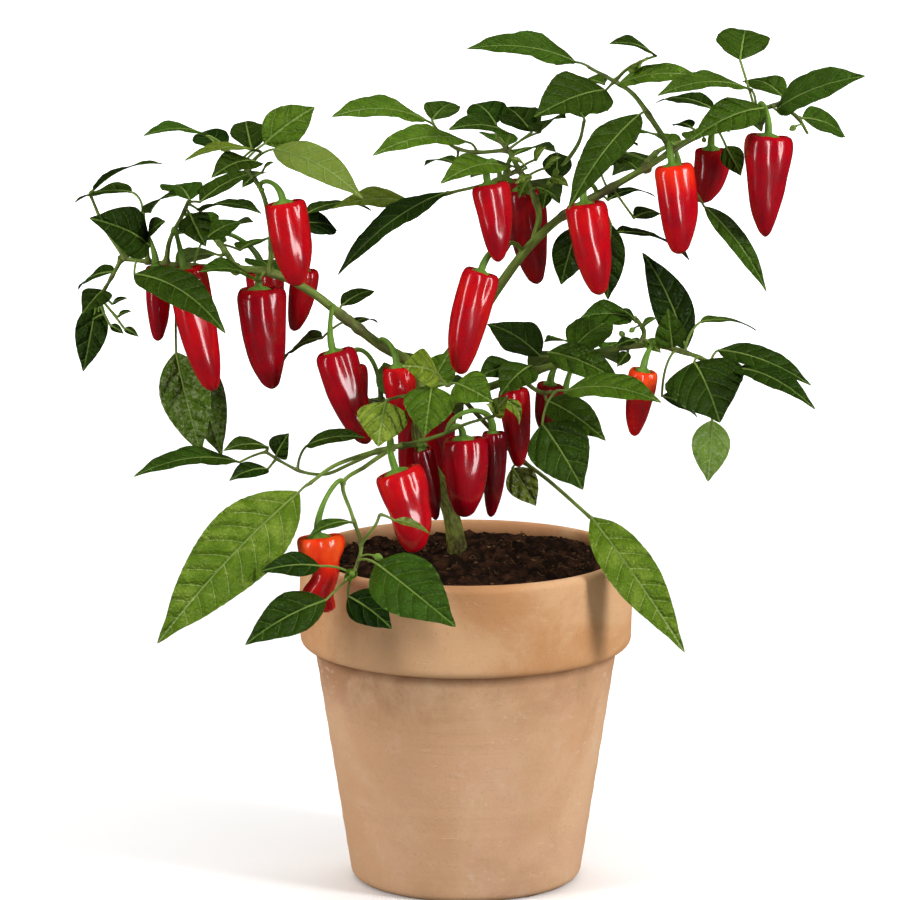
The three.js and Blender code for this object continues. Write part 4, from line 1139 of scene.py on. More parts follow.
@dataclass
class MeshParts:
    """A mesh that is gathered part by part, with what its finish reads from it.

    Attributes:
        finishes: the finishes that its faces choose from.
        points: vertices, mm.
        faces: faces as rows of vertex numbers; a triangle's last number is -1.
        skins: each face's finish number.
        tints: each vertex's red, green, blue and alpha.
        grains: each vertex's place round and along its stalk.
        corners: each face's four corners on the vein map.
    """

    finishes: tuple[Finish, ...]
    points: list[np.ndarray] = field(default_factory=list)
    faces: list[np.ndarray] = field(default_factory=list)
    skins: list[np.ndarray] = field(default_factory=list)
    tints: list[np.ndarray] = field(default_factory=list)
    grains: list[np.ndarray] = field(default_factory=list)
    corners: list[np.ndarray] = field(default_factory=list)

    def add(self, points: np.ndarray, faces: np.ndarray, skins: np.ndarray | int = 0,
            tints: np.ndarray | Colour = (0.0, 0.0, 0.0, 0.0), grains: np.ndarray | None = None,
            corners: np.ndarray | None = None) -> None:
        """Adds a part.

        Args:
            points: its vertices, mm.
            faces: its faces, with -1 for a triangle's missing corner.
            skins: its faces' finish numbers, or one for all.
            tints: its vertices' tints, or one for all.
            grains: its vertices' grain.
            corners: its faces' corners on the vein map.
        """
        start = sum(len(p) for p in self.points)
        self.points.append(np.asarray(points, float))
        self.faces.append(np.where(faces < 0, -1, faces + start))
        self.skins.append(np.broadcast_to(skins, len(faces)))
        self.tints.append(np.broadcast_to(tints, (len(points), 4)))
        self.grains.append(np.zeros((len(points), 3)) if grains is None else grains)
        self.corners.append(np.zeros((len(faces), 4, 2)) if corners is None else corners)

    def build(self, name: str, sharp: float = 50.0) -> bpy.types.Object:
        """Makes the mesh and dresses it.

        Args:
            name: the piece's name.
            sharp: the angle between faces, in degrees, from which an edge stays sharp.

        Returns:
            The piece.
        """
        points = np.concatenate(self.points) * METRES
        faces = np.concatenate(self.faces)
        kept = faces >= 0
        sizes = kept.sum(1)
        mesh = bpy.data.meshes.new(name)
        mesh.vertices.add(len(points))
        mesh.vertices.foreach_set("co", points.astype(np.float32).ravel())
        mesh.loops.add(int(sizes.sum()))
        mesh.loops.foreach_set("vertex_index", faces[kept].astype(np.int32))
        mesh.polygons.add(len(faces))
        mesh.polygons.foreach_set("loop_start", np.concatenate([[0], np.cumsum(sizes)[:-1]]).astype(np.int32))
        mesh.polygons.foreach_set("material_index", np.concatenate(self.skins).astype(np.int32))
        mesh.polygons.foreach_set("use_smooth", np.ones(len(faces), bool))
        mesh.update(calc_edges=True)
        mesh.uv_layers.new(name="veins").uv.foreach_set("vector", np.concatenate(self.corners)[kept].ravel())
        tint = mesh.attributes.new("tint", "FLOAT_COLOR", "POINT")
        tint.data.foreach_set("color", np.concatenate(self.tints).astype(np.float32).ravel())
        grain = mesh.attributes.new("grain", "FLOAT_VECTOR", "POINT")
        grain.data.foreach_set("vector", np.concatenate(self.grains).astype(np.float32).ravel())
        mesh.set_sharp_from_angle(angle=math.radians(sharp))
        for finish in self.finishes:
            mesh.materials.append(finish.material())
        piece = bpy.data.objects.new(name, mesh)
        bpy.context.scene.collection.objects.link(piece)
        LOG.info("%s: %d faces", name, len(faces))
        return piece


def place_piece(piece: bpy.types.Object, slot: str, *nodes: str) -> None:
    """Attaches a piece to the body that it rides on, and hides the solids that it stands for.

    Args:
        piece: the piece.
        slot: the record's material slot; not used.
        nodes: the solids that it stands for.
    """
    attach(piece, BODY)
    if nodes:
        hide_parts(*nodes)


def unit(vector: np.ndarray) -> np.ndarray:
    """A vector's direction."""
    return vector / np.linalg.norm(vector)


def ease(value: np.ndarray | float, low: float, high: float) -> np.ndarray | float:
    """0 below `low`, 1 above `high`, and a smooth step between them."""
    share = np.clip((value - low) / (high - low), 0.0, 1.0)
    return share * share * (3 - 2 * share)


def angles_round(count: int) -> np.ndarray:
    """Angles spaced evenly round a circle, radians."""
    return np.linspace(0, 2 * math.pi, count, endpoint=False)


def ring_grain(angles: np.ndarray, along: np.ndarray, ends: tuple[float, float]) -> np.ndarray:
    """Says where the vertices of rings in a row lie round and along it, for the streaks.

    Args:
        angles: the angle of each vertex of a ring.
        along: each ring's place along the row.
        ends: the same for the two ends' middles.

    Returns:
        The grain of the rings' vertices and of the two ends' middles.
    """
    grain = np.zeros((len(along) * len(angles) + 2, 3))
    grain[:-2, 0] = np.tile(np.cos(angles), len(along))
    grain[:-2, 1] = np.tile(np.sin(angles), len(along))
    grain[:-2, 2] = np.repeat(along, len(angles))
    grain[-2:, 2] = ends
    return grain


def ring_tints(sides: int, *channels: np.ndarray) -> np.ndarray:
    """Tints rings in a row, and leaves the two ends' middles blank.

    Args:
        sides: how many vertices a ring has.
        channels: each ring's red, then its green and its blue, as far as they are given.

    Returns:
        The vertices' tints.
    """
    tints = np.zeros((len(channels[0]) * sides + 2, 4))
    for channel, values in enumerate(channels):
        tints[:-2, channel] = np.repeat(values, sides)
    return tints


def grid_faces(rows: int, columns: int, closed: bool = False) -> np.ndarray:
    """Numbers the faces of a grid of vertices.

    Args:
        rows: how many rows of vertices it has.
        columns: how many vertices a row has.
        closed: whether each row closes on itself.

    Returns:
        One row of four vertex numbers for each face.
    """
    wide = columns if closed else columns - 1
    row, column = (part.ravel() for part in np.mgrid[0 : rows - 1, 0:wide])
    following = (column + 1) % columns
    first, second = row * columns, (row + 1) * columns
    return np.stack([first + column, first + following, second + following, second + column], 1)


def capped_faces(rows: int, columns: int) -> np.ndarray:
    """Numbers the faces of rings in a row, with a fan over each end.

    Args:
        rows: how many rings there are.
        columns: how many vertices a ring has.

    Returns:
        The faces. The vertex after the last ring is the first end's middle, and the next is the other end's.
    """
    count = rows * columns
    around = np.arange(columns)
    following = (around + 1) % columns
    last = count - columns
    missing = np.full(columns, -1)
    start = np.stack([np.full(columns, count), following, around, missing], 1)
    end = np.stack([np.full(columns, count + 1), around + last, following + last, missing], 1)
    return np.concatenate([grid_faces(rows, columns, closed=True), start, end])


def smooth_line(points: Sequence[np.ndarray], steps: int) -> np.ndarray:
    """Runs a centripetal Catmull-Rom curve through points.

    Args:
        points: the points, mm.
        steps: how many stretches each span is split into.

    Returns:
        The curve's points.
    """
    given = [np.asarray(p, float) for p in points]
    padded = [2 * given[0] - given[1], *given, 2 * given[-1] - given[-2]]
    shares = np.linspace(0, 1, steps, endpoint=False)[:, None]
    line = []
    for before, start, end, after in zip(padded, padded[1:], padded[2:], padded[3:]):
        gaps = [math.sqrt(np.linalg.norm(b - a)) for a, b in ((before, start), (start, end), (end, after))]
        out = (start - before) / gaps[0] - (end - before) / (gaps[0] + gaps[1]) + (end - start) / gaps[1]
        into = (end - start) / gaps[1] - (after - start) / (gaps[1] + gaps[2]) + (after - end) / gaps[2]
        out, into = out * gaps[1], into * gaps[1]
        square = (-3 * start + 3 * end - 2 * out - into) * shares**2
        line.append(start + out * shares + square + (2 * start - 2 * end + out + into) * shares**3)
    return np.concatenate([*line, [given[-1]]])


def smooth_values(places: np.ndarray, values: np.ndarray, wanted: np.ndarray) -> np.ndarray:
    """Interpolates values without overshooting between rising places.

    Args:
        places: where the values are given.
        values: the values.
        wanted: where they are wanted.

    Returns:
        The values there.
    """
    slopes = np.gradient(values, places)
    slopes[0] = 0.0
    at = np.clip(np.searchsorted(places, wanted) - 1, 0, len(places) - 2)
    gap = places[at + 1] - places[at]
    t = (wanted - places[at]) / gap
    start = (2 * t**3 - 3 * t**2 + 1) * values[at] + (t**3 - 2 * t**2 + t) * gap * slopes[at]
    return start + (3 * t**2 - 2 * t**3) * values[at + 1] + (t**3 - t**2) * gap * slopes[at + 1]


def bezier(points: Sequence[np.ndarray], shares: np.ndarray) -> np.ndarray:
    """Points of a Bezier curve.

    Args:
        points: its three or four control points.
        shares: where on the curve each point lies.

    Returns:
        The points.
    """
    degree = len(points) - 1
    weights = [math.comb(degree, i) * shares**i * (1 - shares) ** (degree - i) for i in range(degree + 1)]
    return sum(w[:, None] * p for w, p in zip(weights, points))


def frames(line: np.ndarray, first: Point = (0.0, 0.0, 1.0)) -> tuple[np.ndarray, np.ndarray, np.ndarray]:
    """Finds directions that travel along a line without twisting.

    Args:
        line: the line's points.
        first: the direction that the normal starts near.

    Returns:
        At each point the tangent, the normal and the side.
    """
    tangents = np.gradient(line, axis=0)
    tangents /= np.linalg.norm(tangents, axis=1, keepdims=True)
    start = np.array(first)
    if abs(tangents[0] @ start) > 0.8:
        start = np.array([1.0, 0.0, 0.0])
    normals = []
    for tangent in tangents:
        start = unit(start - tangent * (start @ tangent))
        normals.append(start)
    normals = np.array(normals)
    return tangents, normals, np.cross(tangents, normals)


def tube(line: np.ndarray, radii: np.ndarray, sides: int, ridge: float = 0.0,
         phase: float = 0.0) -> tuple[np.ndarray, np.ndarray, np.ndarray]:
    """Sweeps a softly ridged round section along a line and closes its ends.

    Args:
        line: the centreline, mm.
        radii: the radius at each point.
        sides: how many vertices are round it.
        ridge: how far its ridges stand out, as a share of the radius.
        phase: turns the ridges, radians.

    Returns:
        Its vertices, faces and grain.
    """
    _, normals, across = frames(line)
    angles = angles_round(sides)
    wide = radii[:, None] * (1 + ridge * np.cos(4 * angles + phase))
    out = normals[:, None] * np.cos(angles)[:, None] + across[:, None] * np.sin(angles)[:, None]
    rings = line[:, None] + out * wide[..., None]
    points = np.concatenate([rings.reshape(-1, 3), line[[0, -1]]])
    along = np.concatenate([[0], np.cumsum(np.linalg.norm(np.diff(line, axis=0), axis=1))])
    return points, capped_faces(len(line), sides), ring_grain(angles, along, (along[0], along[-1]))


# ---- Pot and soil ----


@dataclass(frozen=True)
class TerracottaPot:
    """The thrown pot: tapered wall, rounded foot, thick rolled rim band and drain hole, mm.

    Attributes:
        neck_radius: the wall's outer radius right under the rim band.
        lip: how much the inside widens from its shoulder to the mouth.
        shoulder_rise: how far the inside's shoulder lies above the band's foot.
        ring_pitch: the rings of vertices are at most about this far apart.
        sway: how far the wall sways in and out, two and three times round the pot.
        throwing: how deep the throwing rings are.
    """

    height: float = 222.0
    rim_radius: float = 111.0
    rim_height: float = 62.0
    neck_radius: float = 101.5
    foot_radius: float = 76.5
    wall: float = 9.5
    floor: float = 12.0
    lip: float = 2.5
    shoulder_rise: float = 10.0
    drain_radius: float = 11.0
    sides: int = 192
    ring_pitch: float = 6.0
    sway: tuple[float, float] = (0.25, 0.15)
    throwing: float = 0.16

    @property
    def band_foot(self) -> float:
        """The height of the rim band's foot."""
        return self.height - self.rim_height

    @property
    def shoulder(self) -> float:
        """The height of the inside's shoulder."""
        return self.band_foot + self.shoulder_rise

    @property
    def mouth(self) -> float:
        """The mouth's radius."""
        return self.rim_radius - self.wall - 1

    def outer(self, z: float) -> float:
        """Radius of the outer wall at a height, below the rim."""
        return self.foot_radius + (self.neck_radius - self.foot_radius) * z / self.band_foot

    def inner(self, z: float) -> float:
        """Finds the radius of the pot's inside at a height.

        Args:
            z: the height, mm.

        Returns:
            The radius, mm.
        """
        heights = [self.floor, self.shoulder, self.height - self.lip]
        radii = [self.outer(self.floor) - self.wall, self.mouth - self.lip, self.mouth]
        return float(np.interp(z, heights, radii))

    def profile(self) -> np.ndarray:
        """Draws the section with its corners rounded.

        Returns:
            Radii and heights, round the section from the drain hole's foot, outside first.
        """
        corners = [
            (self.drain_radius, 0.0, 1.0),
            (self.outer(0), 0.0, 7.0),
            (self.neck_radius - 0.2, self.band_foot, 0.8),
            (self.rim_radius - 0.4, self.band_foot + 0.4, 6.0),
            (self.rim_radius + 0.3, self.band_foot + 0.5 * self.rim_height, 60.0),
            (self.rim_radius - 0.5, self.height, 5.2),
            (self.mouth, self.height, 3.4),
            (self.mouth - self.lip, self.shoulder, 6.0),
            (self.outer(self.floor) - self.wall, self.floor, 6.0),
            (self.drain_radius, self.floor, 1.5),
        ]
        line = []
        for before, corner, after in zip([corners[-1], *corners], corners, [*corners[1:], corners[0]]):
            line.extend(self.rounded(before, corner, after))
        return np.array(line)

    @staticmethod
    def rounded(before: Point, corner: Point, after: Point, steps: int = 7) -> list[np.ndarray]:
        """Rounds one corner of the section.

        Args:
            before: the corner before it, with its radius.
            corner: the corner, with its radius.
            after: the corner after it, with its radius.
            steps: how many stretches the arc has.

        Returns:
            The arc's points.
        """
        middle = np.array(corner[:2])
        back, ahead = unit(np.array(before[:2]) - middle), unit(np.array(after[:2]) - middle)
        half = math.acos(float(np.clip(back @ ahead, -1, 1))) / 2
        reach = corner[2] / math.tan(half)
        centre = middle + unit(back + ahead) * corner[2] / math.sin(half)
        start, end = middle + back * reach - centre, middle + ahead * reach - centre
        turn = math.pi - 2 * half
        return [
            centre + (math.sin((1 - s) * turn) * start + math.sin(s * turn) * end) / math.sin(turn)
            for s in np.linspace(0, 1, steps)
        ]

    def build(self) -> bpy.types.Object:
        """Turns the pot, with the slight unevenness of a thrown one.

        Returns:
            The piece.
        """
        outline = self.profile()
        stretched = [outline[0]]
        for start, end in zip(outline, np.roll(outline, -1, axis=0)):
            parts = max(1, round(float(np.linalg.norm(end - start)) / self.ring_pitch))
            stretched.extend(start + (end - start) * (i + 1) / parts for i in range(parts))
        ring = np.array(stretched[:-1])
        angles = angles_round(self.sides)
        radius, height = (ring[:, i][:, None] for i in (0, 1))
        cone = np.interp(height, [0, self.height], [self.foot_radius, self.rim_radius])
        outside = ease(radius - cone, -8, -4)
        twice, thrice = self.sway
        sway = twice * np.sin(2 * angles + 0.6) + thrice * np.sin(3 * angles + 2.0 + height / 90)
        throwing = self.throwing * np.sin(height / 2.9 + 0.5 * np.sin(angles)) * ease(height, 10, 30)
        radius = radius + sway * ease(height, 0, 12) + throwing * outside * ease(-height, -158, -150)
        height = np.broadcast_to(height, radius.shape)
        points = np.stack([radius * np.cos(angles), radius * np.sin(angles), height], 2)
        rows = len(ring)
        faces = grid_faces(rows + 1, self.sides, closed=True) % (rows * self.sides)
        mesh = MeshParts((TERRACOTTA,))
        mesh.add(points.reshape(-1, 3), faces)
        piece = mesh.build("pot_body", sharp=70)
        place_piece(piece, "terracotta", "pot")
        return piece


@dataclass(frozen=True)
class PottingSoil:
    """The soil that fills the pot to a little under its rim, with the crumbs and fibres on it, mm.

    Attributes:
        pot: the pot that it fills.
        stem: where the trunk stands in it.
        clear: how far it keeps from the pot.
        foot: how far its foot keeps from the pot's rounded inner corner.
        level: the height of its surface at the edge.
        mound: how much higher the surface is in the middle.
        relief: the height of its broad waves.
        heaps: the middles of a heap and a hollow, their rise, and their spread in square millimetres.
        bank: how high it is banked against the trunk.
        rings: rings of vertices between the surface's edge and its middle.
        sides: vertices round it.
        crumbs: how many loose crumbs lie on it.
        fibres: how many bits of fibre lie on it.
        seed: of the random draw for both.
    """

    pot: TerracottaPot
    stem: tuple[float, float]
    clear: float = 0.9
    foot: float = 6.0
    level: float = 211.0
    mound: float = 7.0
    relief: float = 3.0
    heaps: tuple[tuple[float, ...], ...] = ((52.0, 46.0, 4.5, 900.0), (30.0, -62.0, -3.0, 500.0))
    bank: float = 3.5
    rings: int = 84
    sides: int = 200
    crumbs: int = 1500
    fibres: int = 130
    seed: int = 11

    def surface(self, x: float, y: float) -> float:
        """Finds the height of the crumbly surface at a place.

        Args:
            x: to the right, mm.
            y: to the back, mm.

        Returns:
            The height, mm.
        """
        off = math.hypot(x, y) / self.pot.rim_radius
        waves = math.sin(0.19 * x + 1.3) * math.cos(0.23 * y) + math.sin(0.41 * y - 0.13 * x)
        height = self.level + self.mound * (1 - off * off) + self.relief * waves / 2
        for across, back, rise, spread in self.heaps:
            height += rise * math.exp(-((x - across) ** 2 + (y - back) ** 2) / spread)
        bank = self.bank * math.exp(-((x - self.stem[0]) ** 2 + (y - self.stem[1]) ** 2) / 130)
        lumps = 3.2 * self.bumps(x, y, 3.0, 11) + 2.2 * self.bumps(x, y, 9.0, 4.6)
        clods = 2.0 * max(0.0, self.bumps(x, y, 21.0, 7.5)) + bank
        return height + lumps + clods + 0.8 * self.bumps(x, y, 1.0, 1.8)

    @staticmethod
    def bumps(x: float, y: float, layer: float, size: float) -> float:
        """Noise at a place, on one of its layers, with bumps of about that size in mm."""
        return noise.noise(Vector((x, y, layer)) / size)

    def build(self) -> list[bpy.types.Object]:
        """Makes the body of soil and the crumbs and fibres on it.

        Returns:
            The two pieces.
        """
        edge = self.pot.inner(self.level) - self.clear
        low = self.pot.floor + self.clear
        angles = angles_round(self.sides)
        circle = np.stack([np.cos(angles), np.sin(angles), np.zeros(self.sides)], 1)
        below = [(0.4, low), (self.pot.inner(low) - self.clear - self.foot, low)]
        below += [(self.pot.inner(z) - self.clear, z) for z in (low + self.foot, self.pot.shoulder)]
        below.append((edge, self.level - 3))
        rows = [circle * radius + (0, 0, z) for radius, z in below]
        for share in np.linspace(1, 0.004, self.rings):
            row = circle * edge * share
            row[:, 2] = [self.surface(x, y) for x, y in row[:, :2]]
            rows.append(row)
        body = MeshParts((SOIL,))
        middles = [(0.0, 0.0, low), (0.0, 0.0, self.surface(0.0, 0.0))]
        body.add(np.concatenate([*rows, middles]), capped_faces(len(rows), self.sides))
        filling = body.build("potting_soil", sharp=180)
        litter = self.litter(edge)
        for piece in (filling, litter):
            place_piece(piece, "soil", "soil")
        return [filling, litter]

    def litter(self, edge: float) -> bpy.types.Object:
        """Lays crumbs and bits of fibre on the surface.

        Args:
            edge: how far from the axis they may lie, mm.

        Returns:
            The piece.
        """
        draw = random.Random(self.seed)
        mesh = MeshParts((SOIL,))
        form, sides = crumb_form()
        for _ in range(self.crumbs):
            x, y = self.spot(draw, edge - 2)
            size = 0.35 + 1.5 * draw.random() ** 4
            lumps = np.array([[draw.uniform(0.65, 1.2)] for _ in form])
            squash = np.array([1.0, draw.uniform(0.6, 1.0), draw.uniform(0.5, 0.9)])
            pale = draw.choice((0.0, 0.0, 0.04, 0.10, 0.25, 0.60))
            centre = np.array([x, y, self.surface(x, y) + 0.25 * size])
            mesh.add(centre + form * lumps * squash * size, sides, tints=(pale, pale, pale, 0.0))
        for _ in range(self.fibres):
            x, y = self.spot(draw, edge - 10)
            turn, bend = draw.uniform(0, 2 * math.pi), draw.uniform(-1.5, 1.5)
            length, pale = draw.uniform(3, 11), draw.uniform(0.1, 0.8)
            line = []
            for share in np.linspace(-0.5, 0.5, 6):
                ahead = turn + bend * share
                at = (x + length * share * math.cos(ahead), y + length * share * math.sin(ahead))
                line.append((*at, self.surface(*at) + 0.45))
            radius = draw.uniform(0.14, 0.34)
            points, faces, _ = tube(np.array(line), np.linspace(radius, 0.5 * radius, 6), 5)
            mesh.add(points, faces, tints=(pale, pale, pale, 0.0))
        return mesh.build("soil_crumbs")

    @staticmethod
    def spot(draw: random.Random, edge: float) -> tuple[float, float]:
        """Draws a place on the surface, at most `edge` from the axis."""
        turn, off = draw.uniform(0, 2 * math.pi), edge * math.sqrt(draw.random())
        return off * math.cos(turn), off * math.sin(turn)


def crumb_form() -> tuple[np.ndarray, np.ndarray]:
    """Makes the icosahedron of radius 1 that every crumb starts as.

    Returns:
        Its vertices and its faces.
    """
    gold = (1 + math.sqrt(5)) / 2
    signs = list(itertools.product((-1, 1), repeat=2))
    corners = np.array([np.roll((0, a, b * gold), shift) for shift in range(3) for a, b in signs])
    faces = []
    for trio in itertools.combinations(range(len(corners)), 3):
        three = corners[list(trio)]
        if any(abs(np.linalg.norm(three[i] - three[i - 1]) - 2) > 0.01 for i in range(3)):
            continue
        outward = np.cross(three[1] - three[0], three[2] - three[0]) @ three.sum(0) > 0
        faces.append([*(trio if outward else trio[::-1]), -1])
    return corners / np.linalg.norm(corners[0]), np.array(faces)


# ---- Stems ----


@dataclass(frozen=True)
class StemForm:
    """How branches are rounded off: their rings, and the swellings where something leaves them, mm.

    Attributes:
        steps: rings between two points of a branch.
        root_steps: the same for the plainer line on which the places of roots are found.
        swelling: how much thicker a branch is where something leaves it, as a share.
        collar: the same at its own foot.
        reach: how far from that place the swelling fades.
        ridge: how far its ridges stand out, as a share of the radius.
        tip: how thin its last ring is, as a share.
        old: the radii from which and to which its skin turns to bark.
    """

    steps: int = 16
    root_steps: int = 3
    sides: int = 12
    swelling: float = 0.30
    collar: float = 0.45
    reach: float = 3.4
    ridge: float = 0.045
    tip: float = 0.6
    old: tuple[float, float] = (1.6, 4.6)

    def tubes(self, mesh: MeshParts, branches: Sequence[Branch], joints: np.ndarray) -> None:
        """Adds branches to a mesh.

        Args:
            mesh: the mesh.
            branches: the branches; each after the first grows out of one before it.
            joints: the points where leaves and stalks leave them.
        """
        for number, spec in enumerate(branches):
            line = spec.line(self.steps)
            radii = np.linspace(spec.start, spec.end, len(line))
            gone = np.linalg.norm(line[:, None] - joints, axis=2).min(1)
            knot = np.exp(-((gone / self.reach) ** 2))
            radii = radii * (1 + self.swelling * knot)
            if number:
                off = np.linalg.norm(line - line[0], axis=1)
                radii = radii * (1 + self.collar * np.exp(-((off / (1.8 * spec.start)) ** 2)))
            radii[-1] *= self.tip
            points, faces, grain = tube(line, radii, self.sides, self.ridge, phase=float(number))
            tints = ring_tints(self.sides, knot, 0.45 * ease(radii, *self.old))
            mesh.add(points, faces, tints=tints, grains=grain)


@dataclass(frozen=True)
class Trunk:
    """The plant's stem from inside the soil to its fork, ridged and flared at the soil, mm.

    Attributes:
        spec: its centreline from the soil up.
        depth: how deep it goes down under that.
        root_radius: its radius down there.
        root_steps: rings of vertices in the soil.
        flare: how much thicker it is at the soil.
        flare_height: how far up the flare fades.
        knots: the view points where something leaves it.
        knot_reach: how far from those its swelling fades.
        earth_and_shade_height: how far up the soil dust and painted contact shade on it fade.
        ridges: the height of its coarse and of its fine ridges.
    """

    spec: Branch = TRUNK
    depth: float = 62.0
    root_radius: float = 2.5
    root_steps: int = 12
    steps: int = 22
    sides: int = 40
    flare: float = 0.7
    flare_height: float = 9.0
    knots: tuple[Point, ...] = ((446, 500, 0), (426, 458, -4), (422, 404, 4))
    knot_reach: float = 7.0
    earth_and_shade_height: float = 11.0
    ridges: tuple[float, float] = (0.85, 0.40)

    def build(self, soil: PottingSoil) -> bpy.types.Object:
        """Makes the trunk.

        Args:
            soil: the soil that it stands in.

        Returns:
            The piece.
        """
        line = self.spec.line(self.steps)
        radii = np.linspace(self.spec.start, self.spec.end, len(line))
        ground = soil.surface(line[0][0], line[0][1])
        foot = line[0] - (0.0, 0.0, self.depth)
        below = [foot + (line[0] - foot) * share for share in np.linspace(0, 1, self.root_steps)[:-1]]
        line = np.array([*below, *line])
        root = np.linspace(self.root_radius, self.spec.start, self.root_steps)[:-1]
        height = line[:, 2] - ground
        radii = np.concatenate([root, radii]) + self.flare * np.exp(-((height / self.flare_height) ** 2))
        knots = np.array([VIEW.place(point) for point in self.knots])
        gone = np.linalg.norm(line[:, None] - knots, axis=2).min(1)
        knot = np.exp(-((gone / self.knot_reach) ** 2))
        radii = radii * (1 + 0.10 * knot)
        points, faces, grain = tube(line, radii, self.sides)
        self.ridged(points, line, radii, grain)
        above = np.maximum(height, 0)
        # soil dust and painted contact shade, fading up from the soil
        earth_and_shade = np.exp(-((above / self.earth_and_shade_height) ** 2))
        tints = ring_tints(self.sides, 0.55 * knot, np.clip(0.5 - above / 95, 0.15, 0.5), earth_and_shade)
        mesh = MeshParts((TRUNK_SKIN,))
        mesh.add(points, faces, tints=tints, grains=grain)
        piece = mesh.build("trunk_stem", sharp=80)
        place_piece(piece, "stem", "trunk")
        return piece

    def ridged(self, points: np.ndarray, line: np.ndarray, radii: np.ndarray, grain: np.ndarray) -> None:
        """Presses uneven ridges into the trunk's surface.

        Args:
            points: its vertices, changed in place.
            line: its centreline.
            radii: its radius at each point of that.
            grain: its vertices' grain.
        """
        coarse_height, fine_height = self.ridges
        for row, (centre, radius) in enumerate(zip(line, radii)):
            for column in range(self.sides):
                at = row * self.sides + column
                x, y, along = grain[at]
                coarse = noise.noise(Vector((2.2 * x, 2.2 * y, 0.03 * along)))
                fine = noise.noise(Vector((5.5 * x, 5.5 * y, 0.07 * along + 9)))
                out = (points[at] - centre) / radius
                points[at] += out * (coarse_height * coarse + fine_height * fine)


# ---- Leaves ----


